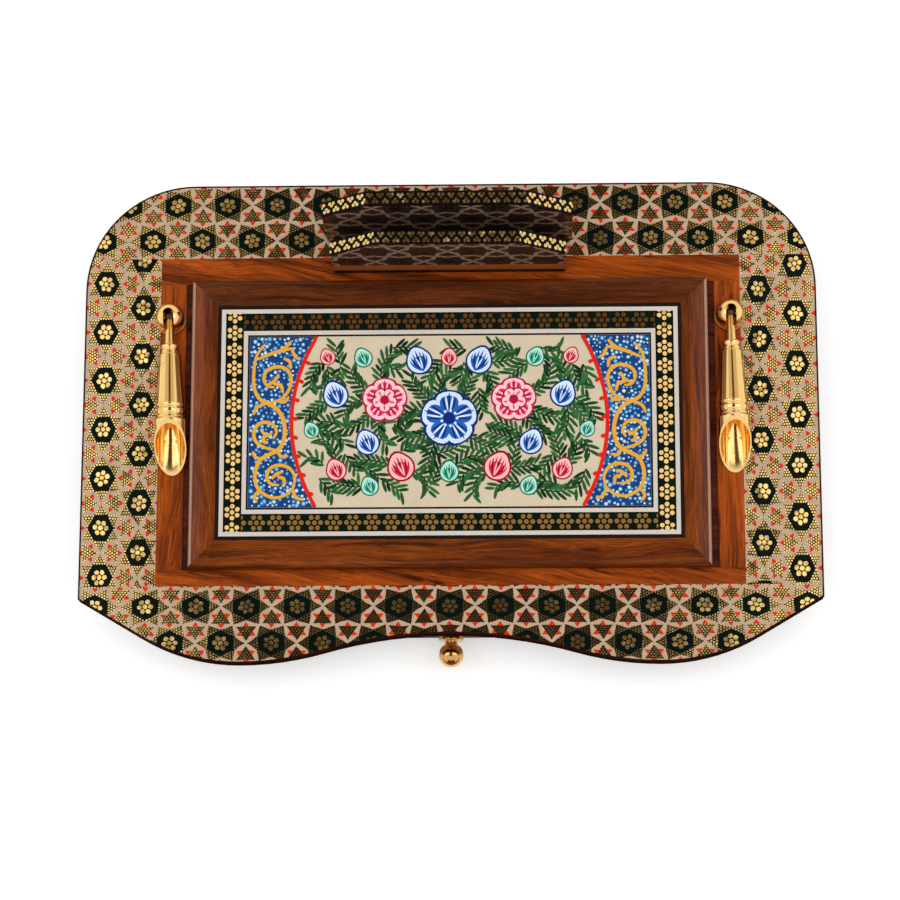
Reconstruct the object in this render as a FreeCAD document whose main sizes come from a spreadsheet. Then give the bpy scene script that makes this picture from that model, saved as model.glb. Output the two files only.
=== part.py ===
import FreeCAD, Part
import math
import os
import Sketcher

# Desk box in inlaid wood: a low case with a drawer, a shaped top with an inlaid border,
# a raised framed panel, a card holder and two brass pen funnels on swivel heads.
# Millimetres. Origin at the middle of the underside, +X to the right, +Y to the back, +Z up.

DIMENSIONS = {
    # Shaped top board
    "plate_width": 309.6,
    "plate_depth": 205.7,
    "plate_thickness": 8.0,
    "plate_bottom": 35.0,
    "rear_corner_radius": 46.0,
    "front_corner_y": 76.0,
    "lobe_x": 87.6,
    "lobe_outer_radius": 80.0,
    "lobe_inner_radius": 130.0,
    "dip_y": 90.7,
    "edge_band": 0.7,
    "veneer": 1.0,
    # Plain wood band round the middle of the top
    "band_width": 245.4,
    "band_depth": 141.4,
    "side_groove": 3.0,
    # Raised frame and the flush inlay inside it
    "frame_width": 217.5,
    "frame_depth": 123.0,
    "frame_member": 11.3,
    "frame_height": 8.0,
    "frame_rounding": 2.4,
    "frame_shift": -2.3,
    "inlay": 1.2,
    "outer_black": 1.6,
    "outer_bone": 1.8,
    "strip": 7.6,
    "inner_bone": 1.8,
    "inner_black": 0.8,
    # Card holder
    "card_front_y": 63.85,
    "card_base_height": 4.0,
    "card_gap": 8.5,
    "card_edging": 1.2,
    "front_plate_width": 98.0,
    "front_plate_thickness": 5.5,
    "front_plate_end": 28.0,
    "front_plate_top": 44.0,
    "rear_plate_width": 104.0,
    "rear_plate_thickness": 6.0,
    "rear_plate_end": 36.5,
    "rear_plate_top": 52.0,
    "card_slope": 19.0,
    # Case under the top
    "case_width": 250.0,
    "case_front": -86.5,
    "case_back": 83.5,
    "base_thickness": 6.0,
    "wall": 6.0,
    # Drawer
    "drawer_gap": 0.6,
    "drawer_front_thickness": 6.0,
    "drawer_side": 5.0,
    "drawer_side_height": 24.5,
    "drawer_rear_gap": 2.0,
    "drawer_bottom_rise": 1.0,
    "drawer_bottom": 3.0,
    "lining": 0.8,
    # Knob and its screw
    "knob_z": 20.8,
    "knob_flange_radius": 5.35,
    "knob_flange_length": 4.3,
    "knob_neck_radius": 2.7,
    "knob_ball_radius": 5.25,
    "knob_ball_y": 10.25,
    "knob_screw_radius": 1.5,
    "knob_screw_head_radius": 3.2,
    "knob_screw_head": 1.6,
    "knob_screw_depth": 9.0,
    # Pen holders: bases, swivel heads, pins and funnels
    "pivot_x": 118.0,
    "pivot_y": 43.3,
    "pivot_rise": 7.0,
    "left_turn": 1.4,
    "right_turn": 1.0,
    "pen_base_radius": 6.35,
    "pen_base_height": 1.3,
    "head_radius": 6.0,
    "head_lift": 0.2,
    "head_floor": 1.2,
    "head_slot": 4.4,
    "pivot_screw_radius": 1.5,
    "pivot_screw_head_radius": 2.0,
    "pivot_screw_head": 1.0,
    "pivot_screw_depth": 6.5,
    "running_clearance": 0.05,
    "eye_relief": 0.4,
    "tilt_pin_radius": 0.8,
    "tilt_pin_length": 11.4,
    "eye_radius": 2.6,
    "eye_thickness": 4.0,
    "neck_start": 1.0,
    "neck_tip_radius": 1.55,
    "neck_root_radius": 2.1,
    "neck_end": 12.0,
    "collar_slope": 0.6,
    "collar_radius": 3.75,
    "collar_end": 16.5,
    "taper_start_radius": 4.45,
    "taper_end_radius": 5.75,
    "taper_end": 38.0,
    "ring_radius": 5.95,
    "ring_end": 44.0,
    "groove_depth": 0.5,
    "groove_width": 0.7,
    "mouth_step": 0.8,
    "mouth_radius": 6.7,
    "mouth_end": 68.0,
    "mouth_cut_end": 67.0,
    "mouth_wall": 0.6,
    "flare_end": 52.0,
    "socket_radius": 3.6,
    "socket_start": 20.0,
    "socket_end": 35.0,
    "socket_tip": 2.2,
    # How far a cutting shape runs past what it cuts
    "overrun": 1.0,
}

# The funnel's two ring grooves, as shares of the ring's length
RING_GROOVES = (0.25, 0.75)
# A cut that removes less than this, in cubic millimetres, has missed
LEAST_CUT = 0.1

doc = FreeCAD.newDocument("desk_box")
sheet = doc.addObject("Spreadsheet::Sheet", "Dims")
for row, (alias, value) in enumerate(DIMENSIONS.items(), start=1):
    sheet.set(f"A{row}", alias)
    sheet.set(f"B{row}", str(value))
    sheet.setAlias(f"B{row}", alias)
doc.recompute()


class Size:
    """A length that holds its number and the sheet expression that gives it."""

    def __init__(self, value, text):
        self.value = value
        self.text = text

    def _join(self, other, sign, value):
        return Size(value, f"({self.text} {sign} {size(other).text})")

    def __add__(self, other):
        return self._join(other, "+", self.value + size(other).value)

    def __sub__(self, other):
        return self._join(other, "-", self.value - size(other).value)

    def __mul__(self, other):
        return self._join(other, "*", self.value * size(other).value)

    def __truediv__(self, other):
        return self._join(other, "/", self.value / size(other).value)

    def __neg__(self):
        return Size(-self.value, f"(0 - {self.text})")


def size(thing):
    """Return thing as a Size: a Size stays as it is, a number becomes a constant."""
    if isinstance(thing, Size):
        return thing
    return Size(float(thing), str(float(thing)))


class Sheet:
    """Sheet cells as Size attributes, named by their aliases."""

    def __getattr__(self, alias):
        return Size(float(sheet.get(alias)), f"Dims.{alias}")


d = Sheet()
nodes = []


def node(shape_object, label):
    """Give an object the label that names its file and add it to the list of sub-parts."""
    shape_object.Label = label
    nodes.append(shape_object)
    return shape_object


def bind(thing, **sizes):
    """Bind properties of an object to sizes; x, y, z stand for its position."""
    places = {"x": "Placement.Base.x", "y": "Placement.Base.y", "z": "Placement.Base.z",
              "angle": "Placement.Rotation.Angle"}
    for name, value in sizes.items():
        thing.setExpression(places.get(name, name), size(value).text)


# Part primitives and booleans

def block(name, low, high):
    """Box between two corners, each a list of three sizes."""
    box = doc.addObject("Part::Box", name)
    span = [size(b) - a for a, b in zip(low, high)]
    bind(box, Length=span[0], Width=span[1], Height=span[2], x=low[0], y=low[1], z=low[2])
    return box


def rod(name, radius, length, place, axis=FreeCAD.Vector(0, 0, 1)):
    """Cylinder that starts at place, a list of three sizes, and runs along axis."""
    cylinder = doc.addObject("Part::Cylinder", name)
    turn = FreeCAD.Rotation(FreeCAD.Vector(0, 0, 1), axis)
    cylinder.Placement = FreeCAD.Placement(FreeCAD.Vector(0, 0, 0), turn)
    bind(cylinder, Radius=radius, Height=length, x=place[0], y=place[1], z=place[2])
    return cylinder


def boolean(kind, name, base, tool):
    """Part::Cut, Part::Fuse or Part::Common of two objects."""
    result = doc.addObject(f"Part::{kind}", name)
    result.Base = base
    result.Tool = tool
    return result


# Bodies and sketches

def new_body(name):
    """Empty body for sketches and features."""
    return doc.addObject("PartDesign::Body", name)


def new_sketch(body, name, role):
    """Sketch on one of the body's own origin planes."""
    sketch = body.newObject("Sketcher::SketchObject", name)
    plane = next(item for item in body.Origin.OriginFeatures if item.Role == role)
    sketch.AttachmentSupport = [(plane, "")]
    sketch.MapMode = "FlatFace"
    return sketch


def fix(sketch, kind, *where, to):
    """Add a constraint with a size and bind it to that size."""
    index = sketch.addConstraint(Sketcher.Constraint(kind, *where, to.value))
    sketch.setExpression(f"Constraints[{index}]", to.text)


def draw_polygon(sketch, corners):
    """Closed outline of straight lines through corners, each a pair of sizes."""
    count = len(corners)
    sizes = [(size(x), size(y)) for x, y in corners]
    points = [FreeCAD.Vector(x.value, y.value, 0) for x, y in sizes]
    for i in range(count):
        sketch.addGeometry(Part.LineSegment(points[i], points[(i + 1) % count]), False)
    for i in range(count):
        sketch.addConstraint(Sketcher.Constraint("Coincident", i, 2, (i + 1) % count, 1))
    for i, (x, y) in enumerate(sizes):
        fix(sketch, "DistanceX", i, 1, to=x)
        fix(sketch, "DistanceY", i, 1, to=y)


def draw_circle(sketch, radius):
    """Circle round the sketch's origin."""
    zero = FreeCAD.Vector(0, 0, 0)
    sketch.addGeometry(Part.Circle(zero, FreeCAD.Vector(0, 0, 1), radius.value), False)
    sketch.addConstraint(Sketcher.Constraint("Coincident", 0, 3, -1, 1))
    fix(sketch, "Radius", 0, to=radius)


def pad(body, name, sketch, length, both_sides=False):
    """Raise a sketch by a length, or by half of it to each side."""
    feature = body.newObject("PartDesign::Pad", name)
    feature.Profile = sketch
    feature.SideType = "Symmetric" if both_sides else "One side"
    bind(feature, Length=length)
    return feature


def pocket_through(body, name, sketch):
    """Cut a sketch through the whole body, to both sides, and test that it removed something."""
    doc.recompute()
    before = body.Shape.Volume
    feature = body.newObject("PartDesign::Pocket", name)
    feature.Profile = sketch
    feature.Type = "ThroughAll"
    feature.SideType = "Symmetric"
    doc.recompute()
    if body.Shape.Volume > before - LEAST_CUT:
        raise RuntimeError(f"{name} cuts nothing")
    return feature


def revolve(body, name, sketch):
    """Turn a sketch once round its own vertical axis."""
    feature = body.newObject("PartDesign::Revolution", name)
    feature.Profile = sketch
    feature.ReferenceAxis = (sketch, ["V_Axis"])
    feature.Angle = 360
    return feature


# Top board, edge band and the inlay sheets that lie flush on it

def draw_plate_outline(sketch):
    """Shaped outline: straight back and sides, round rear corners, two lobes and a dip in front."""
    half = (d.plate_width / 2).value
    rear = (d.plate_depth / 2).value
    corner = d.rear_corner_radius.value
    lobe = d.lobe_x.value
    outer = d.lobe_outer_radius.value
    inner = d.lobe_inner_radius.value
    dip = -d.dip_y.value
    # First guesses for what tangency settles: the dip's arc and where the slanted lines end
    dip_radius = 190.0
    slant = 0.54
    swing = 0.27
    up = math.pi / 2
    down = -up
    z = FreeCAD.Vector(0, 0, 1)

    def arc(x, y, radius, start, end):
        return Part.ArcOfCircle(Part.Circle(FreeCAD.Vector(x, y, 0), z, radius), start, end)

    def line(a, b):
        return Part.LineSegment(FreeCAD.Vector(*a, 0), FreeCAD.Vector(*b, 0))

    front = (half, -d.front_corner_y.value)
    right_arc = arc(lobe, outer - rear, outer, down, down + slant)
    left_arc = arc(-lobe, outer - rear, outer, down - slant, down)
    tangent_point = (right_arc.EndPoint.x, right_arc.EndPoint.y)
    pieces = [
        line((corner - half, rear), (half - corner, rear)),
        arc(half - corner, rear - corner, corner, 0.0, up),
        line((half, rear - corner), front),
        line(front, tangent_point),
        right_arc,
        arc(lobe, inner - rear, inner, down - swing, down),
        arc(0.0, dip - dip_radius, dip_radius, up - swing, up + swing),
        arc(-lobe, inner - rear, inner, down, down + swing),
        left_arc,
        line((-tangent_point[0], tangent_point[1]), (-front[0], front[1])),
        line((-front[0], front[1]), (-half, rear - corner)),
        arc(corner - half, rear - corner, corner, up, 2 * up),
    ]
    for piece in pieces:
        sketch.addGeometry(piece, False)
    dip_point = sketch.addGeometry(Part.Point(FreeCAD.Vector(0, dip, 0)), True)

    start, end, centre = 1, 2, 3
    rules = [
        ("Tangent", 0, end, 1, end), ("Tangent", 1, start, 2, start),
        ("Coincident", 2, end, 3, start), ("Tangent", 3, end, 4, end),
        ("Tangent", 4, start, 5, end), ("Tangent", 5, start, 6, start),
        ("Tangent", 6, end, 7, end), ("Tangent", 7, start, 8, end),
        ("Tangent", 8, start, 9, start), ("Coincident", 9, end, 10, start),
        ("Tangent", 10, end, 11, end), ("Tangent", 11, start, 0, start),
        ("Horizontal", 0), ("Vertical", 2), ("Vertical", 10),
        ("Equal", 1, 11), ("Equal", 4, 8), ("Equal", 5, 7),
        ("Symmetric", 2, end, 10, start, -2), ("Symmetric", 4, start, 8, end, -2),
        ("Vertical", 4, start, 4, centre), ("PointOnObject", 6, centre, -2),
        ("PointOnObject", dip_point, start, -2), ("PointOnObject", dip_point, start, 6),
    ]
    for rule in rules:
        sketch.addConstraint(Sketcher.Constraint(*rule))
    fix(sketch, "DistanceX", 2, end, to=d.plate_width / 2)
    fix(sketch, "DistanceY", 2, end, to=-d.front_corner_y)
    fix(sketch, "DistanceY", 0, start, to=d.plate_depth / 2)
    fix(sketch, "DistanceX", 4, start, to=d.lobe_x)
    fix(sketch, "DistanceY", 4, start, to=-d.plate_depth / 2)
    fix(sketch, "DistanceY", dip_point, start, to=-d.dip_y)
    fix(sketch, "Radius", 1, to=d.rear_corner_radius)
    fix(sketch, "Radius", 4, to=d.lobe_outer_radius)
    fix(sketch, "Radius", 5, to=d.lobe_inner_radius)


def extrude_plate(name, base):
    """Raise a plan outline through the thickness of the top board."""
    solid = doc.addObject("Part::Extrusion", name)
    solid.Base = base
    solid.DirMode = "Custom"
    solid.Dir = FreeCAD.Vector(0, 0, 1)
    solid.Solid = True
    bind(solid, LengthFwd=d.plate_thickness)
    return solid


plate_top = d.plate_bottom + d.plate_thickness
board_top = plate_top - d.veneer
half_plate = d.plate_width / 2
half_depth = d.plate_depth / 2
half_band = d.band_width / 2
half_band_depth = d.band_depth / 2
half_frame = d.frame_width / 2
frame_front_y = d.frame_shift - d.frame_depth / 2
frame_rear_y = d.frame_shift + d.frame_depth / 2


def screw_holes(name, low, high):
    """Both pivot screws' holes, as one tool between two heights."""
    holes = [rod(f"{name}_{side}", d.pivot_screw_radius, size(high) - low,
                 [d.pivot_x * sign, d.pivot_y, low]) for side, sign in (("left", -1), ("right", 1))]
    return boolean("Fuse", name, *holes)


def build_top():
    """Top board, edge band, four inlay sheets and four plain wood strips."""
    outline = doc.addObject("Sketcher::SketchObject", "plate_outline")
    draw_plate_outline(outline)
    bind(outline, z=d.plate_bottom)
    inset = doc.addObject("Part::Offset2D", "plate_inset")
    inset.Source = outline
    inset.Mode = "Pipe"
    inset.Join = "Intersection"
    bind(inset, Value=-d.edge_band)
    whole = extrude_plate("plate_whole", outline)
    inner = extrude_plate("plate_inner", inset)
    node(boolean("Cut", "top_edge_band", whole, inner), "top_edge_band")

    holes = screw_holes("pivot_holes", plate_top - d.pivot_screw_depth,
                        plate_top + d.overrun)
    core = boolean("Common", "board_core", inner,
                   block("board_space", [-half_plate, -half_depth, d.plate_bottom],
                         [half_plate, half_depth, board_top]))
    node(boolean("Cut", "top_board", core, holes), "top_board")

    sheets = {
        "khatam_front": ([-half_plate, -half_depth], [half_plate, -half_band_depth]),
        "khatam_rear": ([-half_plate, half_band_depth], [half_plate, half_depth]),
        "khatam_left": ([-half_plate, -half_band_depth], [-half_band, half_band_depth]),
        "khatam_right": ([half_band, -half_band_depth], [half_plate, half_band_depth]),
    }
    for label, (low, high) in sheets.items():
        space = block(f"{label}_space", low + [board_top], high + [plate_top])
        node(boolean("Common", label, inner, space), label)

    strip_end = half_frame + d.side_groove
    strips = {
        "band_front": ([-half_band, -half_band_depth], [half_band, frame_front_y]),
        "band_rear": ([-half_band, frame_rear_y], [half_band, half_band_depth]),
        "band_left": ([-half_band, frame_front_y], [-strip_end, frame_rear_y]),
        "band_right": ([strip_end, frame_front_y], [half_band, frame_rear_y]),
    }
    for label, (low, high) in strips.items():
        strip = block(f"{label}_strip", low + [board_top], high + [plate_top])
        if label in ("band_left", "band_right"):
            strip = boolean("Cut", f"{label}_drilled", strip, holes)
        node(strip, label)


# Raised frame and the inlay inside it

def frame_member(label, length, middle, angle):
    """Mitred moulding: drawn with its outer edge along X at the front, then turned to its side."""
    body = new_body(f"{label}_body")
    sketch = new_sketch(body, f"{label}_plan", "XY_Plane")
    half = length / 2
    inner = half - d.frame_member
    draw_polygon(sketch, [(-half, 0), (half, 0), (inner, d.frame_member), (-inner, d.frame_member)])
    raised = pad(body, f"{label}_pad", sketch, d.frame_height)
    doc.recompute()
    outer_top = FreeCAD.Vector(0, 0, d.frame_height.value)
    edges = raised.Shape.Edges
    nearest = min(range(len(edges)), key=lambda i: edges[i].CenterOfMass.distanceToPoint(outer_top))
    rounding = body.newObject("PartDesign::Fillet", f"{label}_rounding")
    rounding.Base = (raised, [f"Edge{nearest + 1}"])
    bind(rounding, Radius=d.frame_rounding)
    body.Placement.Rotation = FreeCAD.Rotation(FreeCAD.Vector(0, 0, 1), angle)
    bind(body, x=middle[0], y=middle[1], z=board_top)
    node(body, label)


def ring(label, half_x, half_y, width, low, high):
    """Flat rectangular ring round the panel's centre."""
    centre = d.frame_shift
    outside = block(f"{label}_outside", [-half_x, centre - half_y, low], [half_x, centre + half_y, high])
    inner_x = half_x - width
    inner_y = half_y - width
    inside = block(f"{label}_inside", [-inner_x, centre - inner_y, low - d.overrun],
                   [inner_x, centre + inner_y, high + d.overrun])
    node(boolean("Cut", label, outside, inside), label)
    return inner_x, inner_y


def build_frame():
    """Four mouldings, the core inside them, lines and strips, and the painted panel."""
    frame_member("frame_front", d.frame_width, [size(0), frame_front_y], 0)
    frame_member("frame_right", d.frame_depth, [half_frame, d.frame_shift], 90)
    frame_member("frame_rear", d.frame_width, [size(0), frame_rear_y], 180)
    frame_member("frame_left", d.frame_depth, [-half_frame, d.frame_shift], 270)

    top = board_top + d.frame_height
    low = top - d.inlay
    half_x = half_frame - d.frame_member
    half_y = d.frame_depth / 2 - d.frame_member
    y = d.frame_shift
    node(block("core", [-half_x, y - half_y, board_top], [half_x, y + half_y, low]), "panel_core")
    half_x, half_y = ring("outer_black_line", half_x, half_y, d.outer_black, low, top)
    half_x, half_y = ring("outer_bone_line", half_x, half_y, d.outer_bone, low, top)

    inner_x = half_x - d.strip
    inner_y = half_y - d.strip
    strips = {
        "strip_left": ([-half_x, y - half_y], [-inner_x, y + half_y]),
        "strip_right": ([inner_x, y - half_y], [half_x, y + half_y]),
        "strip_front": ([-inner_x, y - half_y], [inner_x, y - inner_y]),
        "strip_rear": ([-inner_x, y + inner_y], [inner_x, y + half_y]),
    }
    for label, (start, end) in strips.items():
        node(block(f"{label}_inlay", start + [low], end + [top]), label)
    half_x, half_y = ring("inner_bone_line", inner_x, inner_y, d.inner_bone, low, top)
    half_x, half_y = ring("inner_black_line", half_x, half_y, d.inner_black, low, top)
    node(block("panel", [-half_x, y - half_y, low], [half_x, y + half_y, top]), "painted_panel")


# Card holder

def card_plate(side, width, thickness, front_y, foot, end, top):
    """Upright plate with sloping shoulders, and the edging along its top."""
    half = width / 2
    flat = half - d.card_slope
    ridge = [(-half, end), (-flat, top), (flat, top), (half, end)]
    below = [(x, z - d.card_edging) for x, z in ridge]

    plate = new_body(f"card_{side}_body")
    sketch = new_sketch(plate, f"card_{side}_outline", "XZ_Plane")
    draw_polygon(sketch, [(-half, foot)] + below + [(half, foot)])
    pad(plate, f"card_{side}_pad", sketch, thickness)
    edging = new_body(f"card_{side}_edging_body")
    sketch = new_sketch(edging, f"card_{side}_edging_outline", "XZ_Plane")
    draw_polygon(sketch, ridge + below[::-1])
    pad(edging, f"card_{side}_edging_pad", sketch, thickness)
    # A sketch on the XZ plane is raised towards -Y, so each body stands at the plate's rear face
    for body in (plate, edging):
        bind(body, y=front_y + thickness, z=plate_top)
    node(plate, f"card_{side}_plate")
    node(edging, f"card_{side}_edging")


def build_card_holder():
    """Base strip, front plate on it, and the taller rear plate behind it."""
    half = d.front_plate_width / 2
    rear_y = d.card_front_y + d.front_plate_thickness + d.card_gap
    node(block("card_strip", [-half, d.card_front_y, plate_top],
               [half, rear_y, plate_top + d.card_base_height]), "card_base")
    card_plate("front", d.front_plate_width, d.front_plate_thickness, d.card_front_y,
               d.card_base_height, d.front_plate_end, d.front_plate_top)
    card_plate("rear", d.rear_plate_width, d.rear_plate_thickness, rear_y,
               size(0), d.rear_plate_end, d.rear_plate_top)


# Case and drawer

def build_case():
    """Base board, three walls and the inlay sheets on their outer faces."""
    half = d.case_width / 2
    inner = half - d.veneer
    space = inner - d.wall
    wall_back = d.case_back - d.veneer
    low = d.base_thickness
    high = d.plate_bottom
    node(block("base", [-half, d.case_front, size(0)], [half, d.case_back, low]), "base_board")
    node(block("wall_l", [-inner, d.case_front, low], [-space, wall_back, high]), "left_wall")
    node(block("wall_r", [space, d.case_front, low], [inner, wall_back, high]), "right_wall")
    node(block("wall_b", [-space, wall_back - d.wall, low], [space, wall_back, high]), "back_wall")
    node(block("sheet_l", [-half, d.case_front, low], [-inner, d.case_back, high]), "left_wall_khatam")
    node(block("sheet_r", [inner, d.case_front, low], [half, d.case_back, high]), "right_wall_khatam")
    node(block("sheet_b", [-inner, wall_back, low], [inner, d.case_back, high]), "back_wall_khatam")


def build_drawer():
    """Drawer box with its inlaid front; it fills the case with a small gap all round."""
    half = d.case_width / 2 - d.veneer - d.wall - d.drawer_gap
    inner = half - d.drawer_side
    low = d.base_thickness + d.drawer_gap
    side_top = low + d.drawer_side_height
    face = d.case_front + d.veneer
    sides_y = face + d.drawer_front_thickness
    back_y = d.case_back - d.veneer - d.wall - d.drawer_rear_gap
    floor = low + d.drawer_bottom_rise
    floor_top = floor + d.drawer_bottom
    back_front = back_y - d.drawer_side
    hole = rod("knob_hole", d.knob_screw_radius, sides_y - d.case_front + d.overrun * 2,
               [size(0), d.case_front - d.overrun, d.knob_z], FreeCAD.Vector(0, 1, 0))
    top = d.plate_bottom - d.drawer_gap
    board = block("front_board", [-half, face, low], [half, sides_y, top])
    sheet_front = block("front_sheet", [-half, d.case_front, low], [half, face, top])
    node(boolean("Cut", "front_drilled", board, hole), "drawer_front")
    node(boolean("Cut", "front_sheet_drilled", sheet_front, hole), "drawer_front_khatam")
    node(block("side_l", [-half, sides_y, low], [-inner, back_y, side_top]), "drawer_left_side")
    node(block("side_r", [inner, sides_y, low], [half, back_y, side_top]), "drawer_right_side")
    node(block("back", [-inner, back_front, low], [inner, back_y, side_top]), "drawer_back")
    node(block("floor", [-inner, sides_y, floor], [inner, back_front, floor_top]), "drawer_bottom")
    node(block("cloth", [-inner, sides_y, floor_top], [inner, back_front, floor_top + d.lining]),
         "drawer_lining")
    return sides_y


def build_knob(board_rear):
    """Turned knob: flange, neck and ball, held by a screw from inside the drawer."""
    body = new_body("knob_body")
    sketch = new_sketch(body, "knob_profile", "XY_Plane")
    screw_end = d.knob_screw_depth
    ball = d.knob_ball_radius
    neck = d.knob_neck_radius
    rise = (ball.value ** 2 - neck.value ** 2) ** 0.5
    centre = FreeCAD.Vector(0, -d.knob_ball_y.value, 0)
    tip = FreeCAD.Vector(0, centre.y - ball.value, 0)
    corners = [
        (size(0), -screw_end), (d.knob_screw_radius, -screw_end), (d.knob_screw_radius, size(0)),
        (d.knob_flange_radius, size(0)), (d.knob_flange_radius, -d.knob_flange_length),
        (neck, -d.knob_flange_length),
    ]
    points = [FreeCAD.Vector(x.value, y.value, 0) for x, y in corners]
    points.append(FreeCAD.Vector(neck.value, centre.y + rise, 0))
    for a, b in zip(points, points[1:]):
        sketch.addGeometry(Part.LineSegment(a, b), False)
    side = FreeCAD.Vector(ball.value, centre.y, 0)
    neck_line = len(points) - 2
    round_edge = sketch.addGeometry(Part.Arc(tip, side, points[-1]), False)
    axis_edge = sketch.addGeometry(Part.LineSegment(tip, points[0]), False)
    for i in range(neck_line):
        sketch.addConstraint(Sketcher.Constraint("Coincident", i, 2, i + 1, 1))
    for rule in (("Coincident", neck_line, 2, round_edge, 2), ("Coincident", round_edge, 1, axis_edge, 1),
                 ("Coincident", axis_edge, 2, 0, 1), ("PointOnObject", round_edge, 1, -2),
                 ("PointOnObject", round_edge, 3, -2), ("PointOnObject", 0, 1, -2),
                 ("Vertical", neck_line)):
        sketch.addConstraint(Sketcher.Constraint(*rule))
    fix(sketch, "DistanceY", 0, 1, to=corners[0][1])
    for i, (x, y) in enumerate(corners[1:], start=1):
        fix(sketch, "DistanceX", i, 1, to=x)
        fix(sketch, "DistanceY", i, 1, to=y)
    fix(sketch, "Radius", round_edge, to=ball)
    fix(sketch, "DistanceY", round_edge, 3, to=-d.knob_ball_y)
    revolve(body, "knob_turning", sketch)
    bind(body, y=d.case_front, z=d.knob_z)
    node(body, "drawer_knob")

    along = FreeCAD.Vector(0, 1, 0)
    shank = rod("knob_shank", d.knob_screw_radius, board_rear - d.case_front + screw_end,
                [size(0), d.case_front - screw_end, d.knob_z], along)
    head = rod("knob_screw_top", d.knob_screw_head_radius, d.knob_screw_head,
               [size(0), board_rear, d.knob_z], along)
    node(boolean("Fuse", "knob_screw_whole", shank, head), "knob_screw")


# Pen holders

pivot_z = plate_top + d.pivot_rise
head_bottom = plate_top + d.pen_base_height + d.head_lift


def pen_fixings(side, sign):
    """Round base on the top, and the screw that the swivel head turns on."""
    place = [d.pivot_x * sign, d.pivot_y]
    disc = rod(f"{side}_base_disc", d.pen_base_radius, d.pen_base_height, place + [plate_top])
    hole = rod(f"{side}_base_hole", d.pivot_screw_radius, d.pen_base_height + d.overrun * 2,
               place + [plate_top - d.overrun])
    node(boolean("Cut", f"{side}_base_drilled", disc, hole), f"{side}_pen_base")
    shank_low = plate_top - d.pivot_screw_depth
    head_low = head_bottom + d.head_floor + d.running_clearance
    shank = rod(f"{side}_screw_shank", d.pivot_screw_radius, head_low - shank_low, place + [shank_low])
    head = rod(f"{side}_screw_head", d.pivot_screw_head_radius, d.pivot_screw_head, place + [head_low])
    node(boolean("Fuse", f"{side}_screw_whole", shank, head), f"{side}_pivot_screw")


def stand_at_pivot(body, sign, turn):
    """Put a body that is drawn round its pivot in its place, turned as the holder rests."""
    body.Placement.Rotation = FreeCAD.Rotation(FreeCAD.Vector(0, 0, 1), 1)
    bind(body, x=d.pivot_x * sign, y=d.pivot_y, z=pivot_z, angle=turn)


def swivel_head(side, sign, turn):
    """Domed head with a slot from the middle to the front and over the top."""
    body = new_body(f"{side}_head_body")
    sketch = new_sketch(body, f"{side}_head_profile", "XZ_Plane")
    low = head_bottom - pivot_z
    bore = d.pivot_screw_radius + d.running_clearance
    radius = d.head_radius
    corners = [(bore, low), (radius, low), (radius, size(0))]
    points = [FreeCAD.Vector(x.value, y.value, 0) for x, y in corners]
    dome_top = FreeCAD.Vector(bore.value, (radius.value ** 2 - bore.value ** 2) ** 0.5, 0)
    diagonal = radius.value * math.sqrt(0.5)
    shoulder = FreeCAD.Vector(diagonal, diagonal, 0)
    sketch.addGeometry(Part.LineSegment(points[0], points[1]), False)
    sketch.addGeometry(Part.LineSegment(points[1], points[2]), False)
    sketch.addGeometry(Part.Arc(points[2], shoulder, dome_top), False)
    sketch.addGeometry(Part.LineSegment(dome_top, points[0]), False)
    for rule in (("Coincident", 0, 2, 1, 1), ("Coincident", 1, 2, 2, 1), ("Coincident", 2, 2, 3, 1),
                 ("Coincident", 3, 2, 0, 1), ("Coincident", 2, 3, -1, 1), ("Vertical", 3),
                 ("Horizontal", 0), ("Vertical", 1), ("PointOnObject", 1, 2, -1)):
        sketch.addConstraint(Sketcher.Constraint(*rule))
    fix(sketch, "DistanceX", 0, 1, to=bore)
    fix(sketch, "DistanceY", 0, 1, to=low)
    fix(sketch, "Radius", 2, to=radius)
    revolve(body, f"{side}_head_turning", sketch)

    slot = new_sketch(body, f"{side}_slot_plan", "XZ_Plane")
    slot_half = d.head_slot / 2
    floor = low + d.head_floor
    beyond = radius + d.overrun
    draw_polygon(slot, [(-slot_half, floor), (slot_half, floor), (slot_half, beyond), (-slot_half, beyond)])
    doc.recompute()
    before = body.Shape.Volume
    # The slot runs to the front, -Y, and a little behind the pin to clear the funnel's eye
    cut = body.newObject("PartDesign::Pocket", f"{side}_slot")
    cut.Profile = slot
    cut.SideType = "Two sides"
    bind(cut, Length=d.eye_radius + d.eye_relief, Length2=beyond)
    doc.recompute()
    if body.Shape.Volume > before - LEAST_CUT:
        raise RuntimeError(f"{side} slot cuts nothing")
    hole = new_sketch(body, f"{side}_pin_hole", "YZ_Plane")
    draw_circle(hole, d.tilt_pin_radius)
    pocket_through(body, f"{side}_pin_bore", hole)
    stand_at_pivot(body, sign, turn)
    node(body, f"{side}_swivel_head")

    pin = new_body(f"{side}_pin_body")
    sketch = new_sketch(pin, f"{side}_pin_circle", "YZ_Plane")
    draw_circle(sketch, d.tilt_pin_radius)
    pad(pin, f"{side}_pin_pad", sketch, d.tilt_pin_length, both_sides=True)
    stand_at_pivot(pin, sign, turn)
    node(pin, f"{side}_tilt_pin")


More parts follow.
